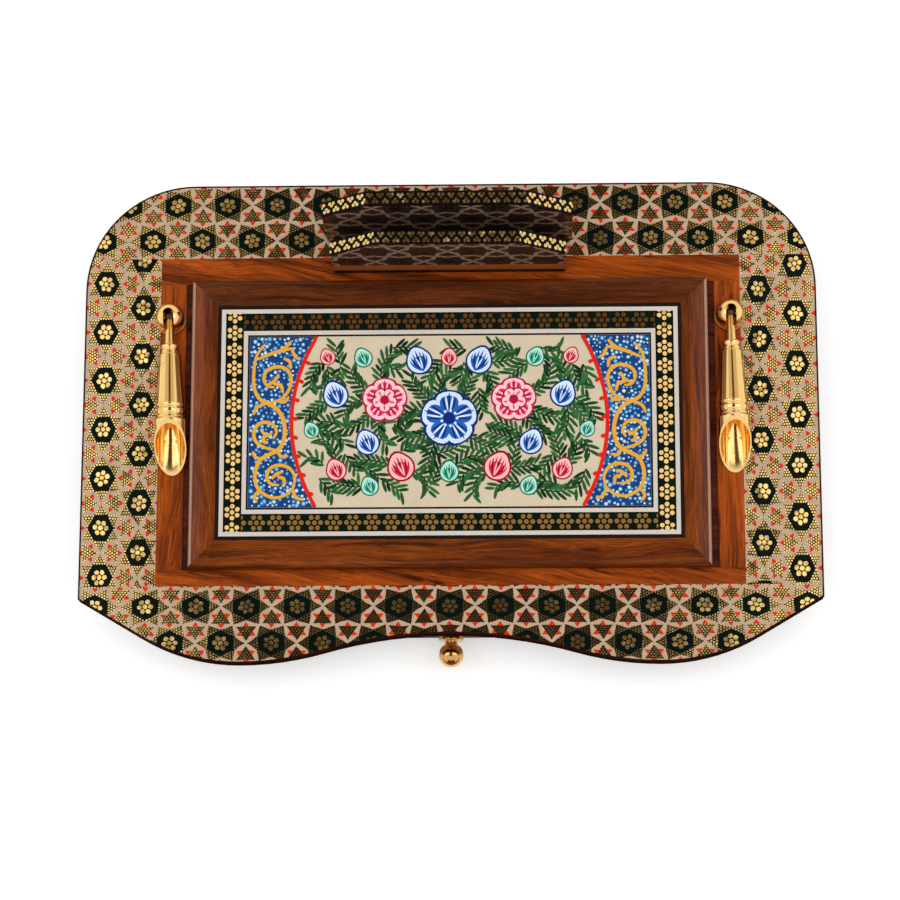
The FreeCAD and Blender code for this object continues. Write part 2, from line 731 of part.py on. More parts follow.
def funnel_profile():
    """Half section of the funnel as (radius, distance along its axis towards -Y)."""
    groove = d.groove_width
    outside = [
        (size(0), d.neck_start), (d.neck_tip_radius, d.neck_start), (d.neck_root_radius, d.neck_end),
        (d.collar_radius, d.neck_end + d.collar_slope),
    ]
    collar_middle = (d.neck_end + d.collar_end) / 2
    outside += [(d.collar_radius, collar_middle - groove),
                (d.collar_radius - d.groove_depth, collar_middle),
                (d.collar_radius, collar_middle + groove), (d.collar_radius, d.collar_end)]
    outside += [(d.taper_start_radius, d.collar_end), (d.taper_end_radius, d.taper_end)]
    for share in RING_GROOVES:
        middle = d.taper_end + (d.ring_end - d.taper_end) * share
        outside += [(d.ring_radius, middle - groove), (d.ring_radius - d.groove_depth, middle),
                    (d.ring_radius, middle + groove)]
    outside += [(d.ring_radius, d.ring_end), (d.mouth_radius, d.ring_end + d.mouth_step),
                (d.mouth_radius, d.mouth_end)]
    inside = [(d.mouth_radius - d.mouth_wall, d.mouth_end), (d.mouth_radius - d.mouth_wall, d.flare_end),
              (d.socket_radius, d.socket_end), (d.socket_radius, d.socket_start),
              (size(0), d.socket_start - d.socket_tip)]
    return outside + inside


def pen_funnel(side, sign, turn):
    """Turned funnel lying along -Y from its eye, with the mouth cut at a slant that faces up."""
    body = new_body(f"{side}_funnel_body")
    eye = new_sketch(body, f"{side}_eye", "YZ_Plane")
    draw_circle(eye, d.eye_radius)
    pad(body, f"{side}_eye_pad", eye, d.eye_thickness, both_sides=True)
    profile = new_sketch(body, f"{side}_funnel_profile", "XY_Plane")
    draw_polygon(profile, [(radius, -along) for radius, along in funnel_profile()])
    revolve(body, f"{side}_funnel_turning", profile)
    hole = new_sketch(body, f"{side}_eye_hole", "YZ_Plane")
    draw_circle(hole, d.tilt_pin_radius + d.running_clearance)
    pocket_through(body, f"{side}_eye_bore", hole)
    mouth = new_sketch(body, f"{side}_mouth_cut", "YZ_Plane")
    reach = d.mouth_radius
    past = d.mouth_end + d.overrun
    draw_polygon(mouth, [(-d.ring_end - d.mouth_step, reach), (-past, reach + d.overrun),
                         (-past, -reach), (-d.mouth_cut_end, -reach)])
    pocket_through(body, f"{side}_mouth", mouth)
    stand_at_pivot(body, sign, turn)
    node(body, f"{side}_pen_funnel")


def build_pen_holders():
    """Left holder turned slightly inwards, right one slightly outwards, as they rest."""
    for side, sign, turn in (("left", -1, d.left_turn), ("right", 1, d.right_turn)):
        pen_fixings(side, sign)
        swivel_head(side, sign, turn)
        pen_funnel(side, sign, turn)


def check_document():
    """Stop if any object failed or any sub-part has no valid solid."""
    for item in doc.Objects:
        if {"Invalid", "Error"} & set(item.State):
            raise RuntimeError(f"{item.Label} failed: {item.State}")
    for item in nodes:
        if item.Shape.isNull() or not item.Shape.isValid() or not item.Shape.Solids:
            raise RuntimeError(f"{item.Label} has no valid solid")


def write_parts():
    """Write each sub-part's shape to its own file."""
    os.makedirs("parts", exist_ok=True)
    for item in nodes:
        item.Shape.exportStep(f"parts/{item.Label}.step")
        print(f"{item.Label}: {len(item.Shape.Solids)} solid, {item.Shape.Volume:.1f} mm3")
    print(f"{len(nodes)} sub-parts")


build_top()
build_frame()
build_card_holder()
build_case()
build_knob(build_drawer())
build_pen_holders()
doc.recompute()
check_document()
write_parts()
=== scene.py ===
"""Looks of a low desk box in inlaid wood, built round its CAD frame.

Sizes are in millimetres and become Blender's metres where meshes, lights and the camera are made.
X runs to the right, Y to the back and Z up, from the middle of the box's underside.
"""
import logging
import math
import random
from dataclasses import dataclass, field, replace
from enum import Enum

import bmesh
import bpy
from mathutils import Matrix, Vector


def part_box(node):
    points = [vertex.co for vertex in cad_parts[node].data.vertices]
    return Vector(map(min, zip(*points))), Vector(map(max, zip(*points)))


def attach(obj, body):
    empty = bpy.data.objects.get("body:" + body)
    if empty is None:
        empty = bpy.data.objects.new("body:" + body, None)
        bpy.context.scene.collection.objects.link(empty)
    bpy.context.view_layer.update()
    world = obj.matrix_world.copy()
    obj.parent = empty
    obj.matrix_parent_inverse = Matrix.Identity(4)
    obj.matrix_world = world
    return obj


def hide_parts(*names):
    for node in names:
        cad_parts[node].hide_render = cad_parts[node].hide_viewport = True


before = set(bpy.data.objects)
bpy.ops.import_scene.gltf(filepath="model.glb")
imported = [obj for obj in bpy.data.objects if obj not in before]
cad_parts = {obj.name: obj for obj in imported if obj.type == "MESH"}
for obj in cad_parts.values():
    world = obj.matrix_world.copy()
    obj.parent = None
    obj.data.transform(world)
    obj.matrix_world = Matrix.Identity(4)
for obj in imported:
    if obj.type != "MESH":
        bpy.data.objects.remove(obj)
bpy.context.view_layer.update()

LOG = logging.getLogger("desk_box")
MM = 0.001
TURN = 2 * math.pi
ROOT3 = math.sqrt(3)

Colour = tuple[float, float, float, float]
Point = tuple[float, float]
Path = list[Point]
Triple = tuple[float, float, float]
Socket = bpy.types.NodeSocket
Node = bpy.types.Node
Mesh = bpy.types.Mesh
BMesh = bmesh.types.BMesh


def srgb(red: int, green: int, blue: int) -> Colour:
    """Turn a screen colour into Blender's linear colour.

    Args:
        red: Red from 0 to 255.
        green: Green from 0 to 255.
        blue: Blue from 0 to 255.

    Returns:
        Linear red, green and blue, and full alpha.
    """
    linear = []
    for part in (red, green, blue):
        share = part / 255
        linear.append(share / 12.92 if share <= 0.04045 else ((share + 0.055) / 1.055) ** 2.4)
    return (*linear, 1.0)


# Node trees

def set_inputs(node: Node, values: dict[str, object]) -> None:
    """Set a node's inputs to plain values, by label."""
    for label, value in values.items():
        node.inputs[label].default_value = value


class Field:
    """A number that varies over a surface or a mesh, built from math nodes with Python's operators."""

    def __init__(self, tree: "Tree", socket: Socket) -> None:
        """Hold a tree and the output socket that gives the number."""
        self.tree = tree
        self.socket = socket

    def math(self, operation: str, *others: "Field | float") -> "Field":
        """Add one math node.

        Args:
            operation: The math node's operation.
            others: Its inputs after this field.

        Returns:
            The node's result.
        """
        node = self.tree.node("ShaderNodeMath", operation=operation)
        for value, socket in zip((self, *others), node.inputs):
            self.tree.feed(value, socket)
        return Field(self.tree, node.outputs[0])

    def __add__(self, other: "Field | float") -> "Field":
        """Sum."""
        return self.math("ADD", other)

    def __sub__(self, other: "Field | float") -> "Field":
        """Difference."""
        return self.math("SUBTRACT", other)

    def __rsub__(self, other: float) -> "Field":
        """Difference from a plain number."""
        return self.math("MULTIPLY", -1.0).math("ADD", other)

    def __mul__(self, other: "Field | float") -> "Field":
        """Product."""
        return self.math("MULTIPLY", other)

    def __truediv__(self, other: "Field | float") -> "Field":
        """Quotient."""
        return self.math("DIVIDE", other)

    def __abs__(self) -> "Field":
        """Distance from zero."""
        return self.math("ABSOLUTE")

    def below(self, limit: "Field | float") -> "Field":
        """1 where the field is under the limit, else 0."""
        return self.math("LESS_THAN", limit)

    def above(self, limit: "Field | float") -> "Field":
        """1 where the field is over the limit, else 0."""
        return self.math("GREATER_THAN", limit)

    def wrap(self, span: float) -> "Field":
        """The field repeated every span, from minus half a span to plus half."""
        return self.math("WRAP", span / 2, -span / 2)

    def ramp(self, low: float, high: float) -> "Field":
        """Smooth step from 0 at low to 1 at high."""
        node = self.tree.node("ShaderNodeMapRange", interpolation_type="SMOOTHSTEP")
        for label, value in (("Value", self), ("From Min", low), ("From Max", high)):
            self.tree.feed(value, node.inputs[label])
        return Field(self.tree, node.outputs[0])


class Tree:
    """A node tree with short calls for the nodes that this file uses."""

    def __init__(self, data: bpy.types.NodeTree) -> None:
        """Hold the tree to add nodes to."""
        self.data = data

    def node(self, kind: str, **settings: object) -> Node:
        """Add a node.

        Args:
            kind: The node's type.
            settings: Properties to set on it.

        Returns:
            The new node.
        """
        made = self.data.nodes.new(kind)
        for name, value in settings.items():
            setattr(made, name, value)
        return made

    def feed(self, value: object, socket: Socket) -> None:
        """Give an input its value.

        Args:
            value: A field or an output socket to link, or a plain value to set.
            socket: The input.
        """
        if isinstance(value, Field):
            value = value.socket
        if isinstance(value, Socket):
            self.data.links.new(value, socket)
        else:
            socket.default_value = value

    def field(self, socket: Socket) -> Field:
        """Wrap an output socket as a field."""
        return Field(self, socket)

    def split(self, vector: Socket) -> list[Field]:
        """The three parts of a vector."""
        node = self.node("ShaderNodeSeparateXYZ")
        self.feed(vector, node.inputs[0])
        return [self.field(socket) for socket in node.outputs]

    def join(self, x: object, y: object, z: object) -> Socket:
        """A vector of three parts."""
        node = self.node("ShaderNodeCombineXYZ")
        for value, socket in zip((x, y, z), node.inputs):
            self.feed(value, socket)
        return node.outputs[0]

    def mix(self, share: "Field | float", first: object, second: object) -> Socket:
        """Blend two colours.

        Args:
            share: 0 gives the first colour and 1 the second.
            first: A colour or a socket.
            second: A colour or a socket.

        Returns:
            The blended colour.
        """
        node = self.node("ShaderNodeMix", data_type="RGBA")
        self.feed(share, node.inputs[0])
        self.feed(first, node.inputs[6])
        self.feed(second, node.inputs[7])
        return node.outputs[2]

    def vector_math(self, operation: str, *values: object) -> Socket:
        """One vector math node, with its vector inputs in order."""
        node = self.node("ShaderNodeVectorMath", operation=operation)
        for value, socket in zip(values, node.inputs):
            self.feed(value, socket)
        return node.outputs[0]

    def scale(self, vector: object, factor: "Field | float") -> Socket:
        """A vector or colour times a number."""
        node = self.node("ShaderNodeVectorMath", operation="SCALE")
        self.feed(vector[:3] if isinstance(vector, tuple) else vector, node.inputs[0])
        self.feed(factor, node.inputs["Scale"])
        return node.outputs[0]

    def noise(self, vector: object, scale: float, detail: float) -> Node:
        """Noise texture; its first output is a number and its second a colour."""
        node = self.node("ShaderNodeTexNoise")
        self.feed(vector, node.inputs["Vector"])
        set_inputs(node, {"Scale": scale, "Detail": detail})
        return node

    def cloud(self, vector: object, scale: float, detail: float) -> Field:
        """Noise as a number, from about 0.2 to 0.8."""
        return self.field(self.noise(vector, scale, detail).outputs[0])

    def stretched_noise(self, vector: object, rates: Triple, detail: float) -> Field:
        """Noise with its own rate along each axis, from about 0.2 to 0.8."""
        return self.cloud(self.vector_math("MULTIPLY", vector, rates), 1.0, detail)


class SocketKind(Enum):
    """Kinds of socket on a node group."""

    NUMBER = "NodeSocketFloat"
    WHOLE = "NodeSocketInt"
    COLOUR = "NodeSocketColor"
    VECTOR = "NodeSocketVector"
    SHAPE = "NodeSocketGeometry"
    FINISH = "NodeSocketMaterial"


def sockets(kind: SocketKind, *labels: str) -> dict[str, SocketKind]:
    """Sockets of one kind, by their labels."""
    return {label: kind for label in labels}


class NodeGroup:
    """A node group with named inputs and outputs."""

    kind = "ShaderNodeTree"

    def __init__(self, name: str, inputs: dict[str, SocketKind], outputs: dict[str, SocketKind]) -> None:
        """Make the group and its sockets.

        Args:
            name: The group's name.
            inputs: Kind of each input by its label.
            outputs: Kind of each output by its label.
        """
        self.data = bpy.data.node_groups.new(name, self.kind)
        for side, kinds in (("INPUT", inputs), ("OUTPUT", outputs)):
            for label, kind in kinds.items():
                self.data.interface.new_socket(label, in_out=side, socket_type=kind.value)
        self.tree = Tree(self.data)
        self.source = self.tree.node("NodeGroupInput")
        self.sink = self.tree.node("NodeGroupOutput")

    def number(self, label: str) -> Field:
        """An input as a field."""
        return self.tree.field(self.source.outputs[label])

    def given(self, label: str) -> Socket:
        """An input as a socket."""
        return self.source.outputs[label]

    def put(self, label: str, value: object) -> None:
        """Set an output."""
        self.tree.feed(value, self.sink.inputs[label])

    def place(self, tree: Tree, values: dict[str, object]) -> Node:
        """Use the group in a material.

        Args:
            tree: The material's tree.
            values: What feeds each input, by label.

        Returns:
            The group node.
        """
        node = tree.node("ShaderNodeGroup", node_tree=self.data)
        for label, value in values.items():
            tree.feed(value, node.inputs[label])
        return node


class ShapeGroup(NodeGroup):
    """A Geometry Nodes tree whose inputs are set on a modifier."""

    kind = "GeometryNodeTree"

    def shape(self, source: bpy.types.Object, values: dict[str, object]) -> Mesh:
        """Run the tree on an object, which is then removed.

        Args:
            source: The curve or mesh that the tree starts from.
            values: The modifier's inputs by label.

        Returns:
            The result as a plain mesh.
        """
        modifier = source.modifiers.new(self.data.name, "NODES")
        modifier.node_group = self.data
        for item in self.data.interface.items_tree:
            if item.in_out == "INPUT" and item.name in values:
                modifier[item.identifier] = values[item.name]
        graph = bpy.context.evaluated_depsgraph_get()
        mesh = bpy.data.meshes.new_from_object(source.evaluated_get(graph), depsgraph=graph)
        bpy.data.objects.remove(source)
        return mesh


# Patterns of the inlay, as masks in units of the pattern's pitch

def squared(x: Field, y: Field) -> Field:
    """Square of the distance from the middle."""
    return x * x + y * y


def distance(x: Field, y: Field) -> Field:
    """Distance from the middle."""
    return squared(x, y).math("SQRT")


def lattice(along: Field, across: Field, pitch: float) -> tuple[Field, Field]:
    """Place within the nearest cell of a triangular lattice.

    Args:
        along: Place along the lattice's rows.
        across: Place across them.
        pitch: Distance between neighbours in a row.

    Returns:
        Offset from the nearest lattice point, along and across.
    """
    tall = pitch * ROOT3
    first = (along.wrap(pitch), across.wrap(tall))
    second = ((along - pitch / 2).wrap(pitch), (across - tall / 2).wrap(tall))
    near = squared(*first).below(squared(*second))
    return tuple(b + (a - b) * near for a, b in zip(first, second))


def rod_flower(x: Field, y: Field, ring: float, rod: float, turn: "Field | float") -> Field:
    """Mask of seven round rods: one in the middle and six round it.

    Args:
        x: Place from the flower's middle.
        y: The same, the other way.
        ring: Radius of the ring of six.
        rod: Radius of a rod.
        turn: Angle of the first rod of the ring.

    Returns:
        1 on the rods, else 0.
    """
    radius = distance(x, y)
    angle = (y.math("ARCTAN2", x) - turn).wrap(TURN / 6)
    dx = angle.math("COSINE") * radius - ring
    dy = angle.math("SINE") * radius
    return distance(dx, dy).math("MINIMUM", radius).below(rod)


def fold(x: Field, y: Field, angle: float) -> tuple[Field, Field]:
    """Mirror what lies past a line through the middle back over it.

    Args:
        x: Place from the middle.
        y: The same, the other way.
        angle: The line's direction.

    Returns:
        The folded place.
    """
    past = (y * math.cos(angle) - x * math.sin(angle)).math("MAXIMUM", 0.0) * 2.0
    return x + past * math.sin(angle), y - past * math.cos(angle)


class InlayGroups:
    """Shader groups that more than one finish uses, each made once."""

    STAR_HEXAGON = 0.282
    TRIANGLE_INSIDE = 0.114
    RED_HALF_WIDTH = 0.064
    FLOWER_RING = 0.113
    FLOWER_ROD = 0.0475
    SQUARED_FLOWER = 0.91
    FINE_PITCH = 0.06
    FINE_ROD = 0.0204
    STRIP_RING = 0.325
    STRIP_ROD = 0.126
    STRIP_SQUARED = 1.02
    STRIP_BLOCK = 0.15
    STRIP_BLOCK_START = 0.16
    TREFOIL_RODS = ((0.0, 0.095, 0.135), (0.19, 0.33, 0.155))
    ROD_END_RATE = 330.0
    GRAIN_SWAY_RATES = (0.02, 0.05, 0.05)
    GRAIN_SWAY = (0.0, 9.0, 9.0)
    FIBRE_RATES = (0.06, 1.9, 1.9)
    FIBRE_CONTRAST = 2.1
    FLASH_SHARE = 0.45
    FLASH_GAIN = 1.5
    PORE_SHARE = 0.5
    # Rates along and across the grain, detail, and where the ramp starts and ends
    GRAIN_LAYERS = {
        "figure": ((0.010, 0.16, 0.16), 3.0, 0.34, 0.66),
        "streak": ((0.017, 0.31, 0.31), 2.0, 0.56, 0.72),
        "pore": ((0.16, 4.2, 4.2), 1.0, 0.60, 0.72),
        "flash": ((0.035, 1.1, 1.1), 2.0, 0.56, 0.7),
    }
    CLOUD_RATE = 45.0
    RUB_RATE = 700.0

    def __init__(self) -> None:
        """Build every group."""
        self.tilt = self.build_tilt()
        self.stars = self.build_stars()
        self.flowers = self.build_flowers()
        self.trefoils = self.build_trefoils()
        self.grain = self.build_grain()
        self.lacquer = self.build_lacquer()

    def build_tilt(self) -> NodeGroup:
        """Normals that lean a little from rod to rod, as cut metal ends do.

        Returns:
            The group.
        """
        group = NodeGroup("leaning_rod_ends", {"Vector": SocketKind.VECTOR, "Mask": SocketKind.NUMBER,
                                               "Lean": SocketKind.NUMBER, "Bias": SocketKind.VECTOR},
                          {"Normal": SocketKind.VECTOR})
        tree = group.tree
        coarse = tree.noise(group.given("Vector"), self.ROD_END_RATE, 1.0).outputs[1]
        lean = tree.vector_math("SUBTRACT", coarse, (0.5, 0.5, 0.5))
        lean = tree.vector_math("ADD", tree.scale(lean, group.number("Lean")), group.given("Bias"))
        lean = tree.scale(lean, group.number("Mask"))
        normal = tree.node("ShaderNodeNewGeometry").outputs["Normal"]
        group.put("Normal", tree.vector_math("NORMALIZE", tree.vector_math("ADD", normal, lean)))
        return group

    @staticmethod
    def mosaic(name: str, numbers: tuple[str, ...], colours: tuple[str, ...]) -> NodeGroup:
        """Start a group that gives a mosaic's colour and where its metal lies.

        Args:
            name: The group's name.
            numbers: Its number inputs besides the place.
            colours: Its colour inputs besides the brass.

        Returns:
            The group.
        """
        return NodeGroup(name, {**sockets(SocketKind.NUMBER, "Along", "Across", *numbers),
                                **sockets(SocketKind.COLOUR, *colours, "Brass")},
                         {"Color": SocketKind.COLOUR, "Metal": SocketKind.NUMBER})

    @staticmethod
    def set_rods(group: NodeGroup, metal: Field, colour: Socket) -> None:
        """Lay brass rods over a mosaic's other colours.

        Args:
            group: The mosaic's group.
            metal: 1 on the rods, else 0.
            colour: The colour between them.
        """
        group.put("Color", group.tree.mix(metal, colour, group.given("Brass")))
        group.put("Metal", metal)

    def build_stars(self) -> NodeGroup:
        """Six-pointed stars round rod flowers, with triangles of fine rods between them.

        Returns:
            The group; its places are in units of the distance between stars.
        """
        group = self.mosaic("star_mosaic", ("Tip", "Tip Base"), ("Bone", "Ground", "Hexagon", "Red"))
        tree = group.tree
        along, across = group.number("Along"), group.number("Across")
        x, y = lattice(along, across, 1.0)
        column = ((along - x) * 2.0).math("ROUND")
        row = ((across - y) * (2 / ROOT3)).math("ROUND")
        chance = tree.node("ShaderNodeTexWhiteNoise", noise_dimensions="2D")
        tree.feed(tree.join(column, row, 0.0), chance.inputs["Vector"])
        turn = tree.field(chance.outputs["Value"]) * (TURN / 6)
        flower = rod_flower(x, y * self.SQUARED_FLOWER, self.FLOWER_RING, self.FLOWER_ROD, turn)

        px, py = fold(abs(x), abs(y), TURN / 6)
        px, py = fold(px, py, TURN / 12)
        hexagon = px.below(self.STAR_HEXAGON)
        reach = group.number("Tip")
        half_tip = (reach - px) * group.number("Tip Base") / (reach - self.STAR_HEXAGON)
        beside_tip = py.below(half_tip)
        tip = beside_tip * px.above(self.STAR_HEXAGON)
        rod_tip = beside_tip * px.above(self.STAR_HEXAGON - self.FINE_ROD)
        corner = (0.5, 0.5 / ROOT3)
        inside = (corner[0] - px) * (ROOT3 / 2) + (corner[1] - py) * 0.5
        triangle = inside.below(self.TRIANGLE_INSIDE)
        red_rise = self.RED_HALF_WIDTH * ROOT3
        rise = (inside - self.TRIANGLE_INSIDE) / red_rise
        aside = px * 0.5 - py * (ROOT3 / 2)
        red = aside.below((1.0 - rise) * self.RED_HALF_WIDTH) * (1.0 - triangle) * rise.below(1.0)

        fine_x = (px - corner[0]) * triangle + py * (1.0 - triangle)
        fine_y = (py - corner[1]) * triangle + (px - self.STAR_HEXAGON) * (1.0 - triangle)
        fx, fy = lattice(fine_x, fine_y, self.FINE_PITCH)
        mosaic = tip.math("MAXIMUM", triangle)
        fine = distance(fx, fy).below(self.FINE_ROD) * rod_tip.math("MAXIMUM", triangle)
        metal = fine.math("MAXIMUM", flower * hexagon)

        colour = tree.mix(mosaic, group.given("Bone"), group.given("Ground"))
        colour = tree.mix(red, colour, group.given("Red"))
        self.set_rods(group, metal, tree.mix(hexagon, colour, group.given("Hexagon")))
        return group

    def build_flowers(self) -> NodeGroup:
        """A row of rod flowers on a dark ground with green blocks between them.

        Returns:
            The group; its places are in units of the distance between flowers.
        """
        group = self.mosaic("flower_row", (), ("Ground", "Block"))
        along, across = group.number("Along"), group.number("Across")
        metal = rod_flower(along.wrap(1.0), across * self.STRIP_SQUARED, self.STRIP_RING,
                           self.STRIP_ROD, 0.0)
        between = abs((along - 0.5).wrap(1.0)).below(self.STRIP_BLOCK)
        block = between * abs(across).above(self.STRIP_BLOCK_START)
        self.set_rods(group, metal, group.tree.mix(block, group.given("Ground"), group.given("Block")))
        return group

    def build_trefoils(self) -> NodeGroup:
        """Two rows of three-rod groups that point at each other, as on a narrow edging.

        Returns:
            The group; its places are in units of the distance between groups.
        """
        group = self.mosaic("trefoil_row", (), ("Ground",))
        along, across = group.number("Along"), group.number("Across")
        side = across.above(0.0) * 0.5
        x = abs((along - side).wrap(1.0))
        y = abs(across)
        metal = None
        for rod_x, rod_y, radius in self.TREFOIL_RODS:
            rod = distance(x - rod_x, y - rod_y).below(radius)
            metal = rod if metal is None else metal.math("MAXIMUM", rod)
        self.set_rods(group, metal, group.given("Ground"))
        return group

    def build_grain(self) -> NodeGroup:
        """Wood grain: broad figure, dark streaks, fibres, pale flashes and pores.

        Returns:
            The group; its vector is in millimetres, with X along the grain.
        """
        group = NodeGroup(
            "wood_grain",
            {"Vector": SocketKind.VECTOR, **sockets(SocketKind.COLOUR, "Light", "Dark", "Streak"),
             "Streaks": SocketKind.NUMBER},
            {"Color": SocketKind.COLOUR, "Height": SocketKind.NUMBER})
        tree = group.tree
        vector = group.given("Vector")
        sway = tree.noise(tree.vector_math("MULTIPLY", vector, self.GRAIN_SWAY_RATES), 1.0, 1.0).outputs[1]
        sway = tree.vector_math("SUBTRACT", sway, (0.5, 0.5, 0.5))
        swayed = tree.vector_math("ADD", vector, tree.vector_math("MULTIPLY", sway, self.GRAIN_SWAY))
        layers = {name: tree.stretched_noise(swayed, rates, detail).ramp(low, high)
                  for name, (rates, detail, low, high) in self.GRAIN_LAYERS.items()}
        fibre = tree.stretched_noise(swayed, self.FIBRE_RATES, 3.0)
        pore = layers["pore"]
        colour = tree.mix(layers["figure"], group.given("Dark"), group.given("Light"))
        colour = tree.mix(layers["streak"] * group.number("Streaks"), colour, group.given("Streak"))
        colour = tree.scale(colour, fibre * self.FIBRE_CONTRAST + (1.0 - self.FIBRE_CONTRAST / 2))
        pale = tree.scale(group.given("Light"), self.FLASH_GAIN)
        colour = tree.mix(layers["flash"] * self.FLASH_SHARE, colour, pale)
        group.put("Color", tree.mix(pore * self.PORE_SHARE, colour, group.given("Streak")))
        group.put("Height", fibre * 0.4 - pore)
        return group

    def build_lacquer(self) -> NodeGroup:
        """Hand-rubbed lacquer: slightly uneven gloss.

        Returns:
            The group, with the roughness and a height for a bump.
        """
        group = NodeGroup("rubbed_lacquer", {"Vector": SocketKind.VECTOR, "Roughness": SocketKind.NUMBER},
                          sockets(SocketKind.NUMBER, "Roughness", "Height"))
        tree = group.tree
        cloud = tree.cloud(group.given("Vector"), self.CLOUD_RATE, 3.0)
        rub = tree.cloud(group.given("Vector"), self.RUB_RATE, 2.0)
        group.put("Roughness", group.number("Roughness") + (cloud - 0.5) * 0.18 + (rub - 0.5) * 0.08)
        group.put("Height", cloud * 0.5 + rub * 0.1)
        return group


INLAY = InlayGroups()


# Finishes

class Axis(Enum):
    """Directions in the box's frame."""

    X = 0
    Y = 1
    Z = 2


BONE = srgb(184, 158, 132)
BRASS_ROD = srgb(234, 200, 124)
BLACK_WOOD = srgb(17, 12, 10)
HEXAGON_WOOD = srgb(5, 17, 14)
MOSAIC_WOOD = srgb(20, 13, 8)
RED_WOOD = srgb(206, 44, 16)
GREEN_WOOD = srgb(6, 23, 17)
FOOT_WOOD = srgb(178, 98, 52)
# Brass of the flower strips: full tone on the left and right, darker copies on the front and rear strips as
# painted shade
STRIP_BRASS = srgb(196, 166, 104)
SHADED_BRASS = srgb(138, 107, 57)
REAR_SHADED_BRASS = srgb(88, 63, 29)
LACQUER_SPECULAR = 0.03
LACQUER_COAT = 0.12
LACQUER_ROUGHNESS = 0.08
LACQUER_DEPTH = 0.01


@dataclass(frozen=True)
class Finish:
    """A named material, made when it is first asked for."""

    name: str

    def paint(self, tree: Tree, shader: Node) -> None:
        """Add the finish's nodes; each kind of finish has its own.

        Args:
            tree: The material's tree.
            shader: Its Principled BSDF.
        """
        raise NotImplementedError

    def material(self) -> bpy.types.Material:
        """The finish as a material.

        Returns:
            The material, the same one at every call.
        """
        key = f"finish_{self.name}"
        if key not in bpy.data.materials:
            made = bpy.data.materials.new(key)
            made.use_nodes = True
            self.paint(Tree(made.node_tree), made.node_tree.nodes["Principled BSDF"])
        return bpy.data.materials[key]

    @staticmethod
    def place(tree: Tree) -> Socket:
        """Where a point lies in the box's frame, in metres."""
        return tree.node("ShaderNodeTexCoord").outputs["Object"]

    @staticmethod
    def rub(tree: Tree, place: Socket, roughness: float) -> Node:
        """Hand-rubbed lacquer's roughness and height, as a group node."""
        return INLAY.lacquer.place(tree, {"Vector": place, "Roughness": roughness})

    @staticmethod
    def bump(tree: Tree, shader: Node, height: Field, depth: float) -> None:
        """Raise the surface.

        Args:
            tree: The material's tree.
            shader: The shader whose normal is set.
            height: Height from 0 to 1.
            depth: What a height of 1 stands for, in millimetres.
        """
        node = tree.node("ShaderNodeBump")
        node.inputs["Distance"].default_value = depth * MM
        tree.feed(height, node.inputs["Height"])
        tree.feed(node.outputs[0], shader.inputs["Normal"])


def lacquered(shader: Node, weight: float, roughness: float) -> None:
    """Lay thin clear lacquer over a shader.

    Args:
        shader: The Principled BSDF.
        weight: How much of the coat shows.
        roughness: The coat's roughness.
    """
    set_inputs(shader, {"Specular IOR Level": LACQUER_SPECULAR, "Coat Weight": weight,
                        "Coat Roughness": roughness})


@dataclass(frozen=True)
class Inlay(Finish):
    """Base of the mosaic finishes: brass rods among wood and bone, under lacquer."""

    along: Axis
    across: Axis
    pitch: float
    start: Point = (0.0, 0.0)
    squeeze: float = 1.0
    lean: float = 0.11
    wobble: float = 1.3
    bias: Triple = (0.0, 0.0, 0.0)
    foot: float | None = None
    rod: Colour = BRASS_ROD

    DRIFT_RATE = 190.0
    TONE_RATE = 260.0
    ROUGHNESS = 0.36
    ROD_POLISH = 0.2
    COAT = 0.04
    COAT_ROUGHNESS = 0.07

    def hand_cut(self, tree: Tree, place: Socket) -> Socket:
        """Small drift of the pieces from their true place, from about -0.3 to 0.3 each way."""
        drift = tree.noise(place, self.DRIFT_RATE, 2.0).outputs[1]
        return tree.vector_math("SUBTRACT", drift, (0.5, 0.5, 0.5))

    def pattern(self, tree: Tree, along: Field, across: Field) -> Node:
        """The group node that draws the pattern."""
        raise NotImplementedError

    def paint(self, tree: Tree, shader: Node) -> None:
        """Lay the pattern on the plane of two axes."""
        place = self.place(tree)
        parts = tree.split(place)
        parts = [part + wobble * (self.wobble * MM)
                 for part, wobble in zip(parts, tree.split(self.hand_cut(tree, place)))]
        along = (parts[self.along.value] - self.start[0] * MM) * (1 / (self.pitch * MM))
        across = (parts[self.across.value] - self.start[1] * MM) * (1 / (self.pitch * self.squeeze * MM))
        node = self.pattern(tree, along, across)
        colour, metal = node.outputs["Color"], tree.field(node.outputs["Metal"])
        if self.foot is not None:
            plain = tree.split(place)[Axis.Z.value].below(self.foot * MM)
            colour = tree.mix(plain, colour, FOOT_WOOD)
            metal = metal * (1.0 - plain)
        tone = tree.cloud(place, self.TONE_RATE, 4.0)
        tree.feed(tree.scale(colour, tone * 0.5 + 0.75), shader.inputs["Base Color"])
        tree.feed(metal, shader.inputs["Metallic"])
        gloss = self.rub(tree, place, self.ROUGHNESS)
        polished = tree.field(gloss.outputs["Roughness"]) - metal * self.ROD_POLISH
        tree.feed(polished, shader.inputs["Roughness"])
        tilt = INLAY.tilt.place(tree, {"Vector": place, "Mask": metal, "Lean": self.lean,
                                       "Bias": self.bias})
        tree.feed(tilt.outputs["Normal"], shader.inputs["Normal"])
        lacquered(shader, self.COAT, self.COAT_ROUGHNESS)


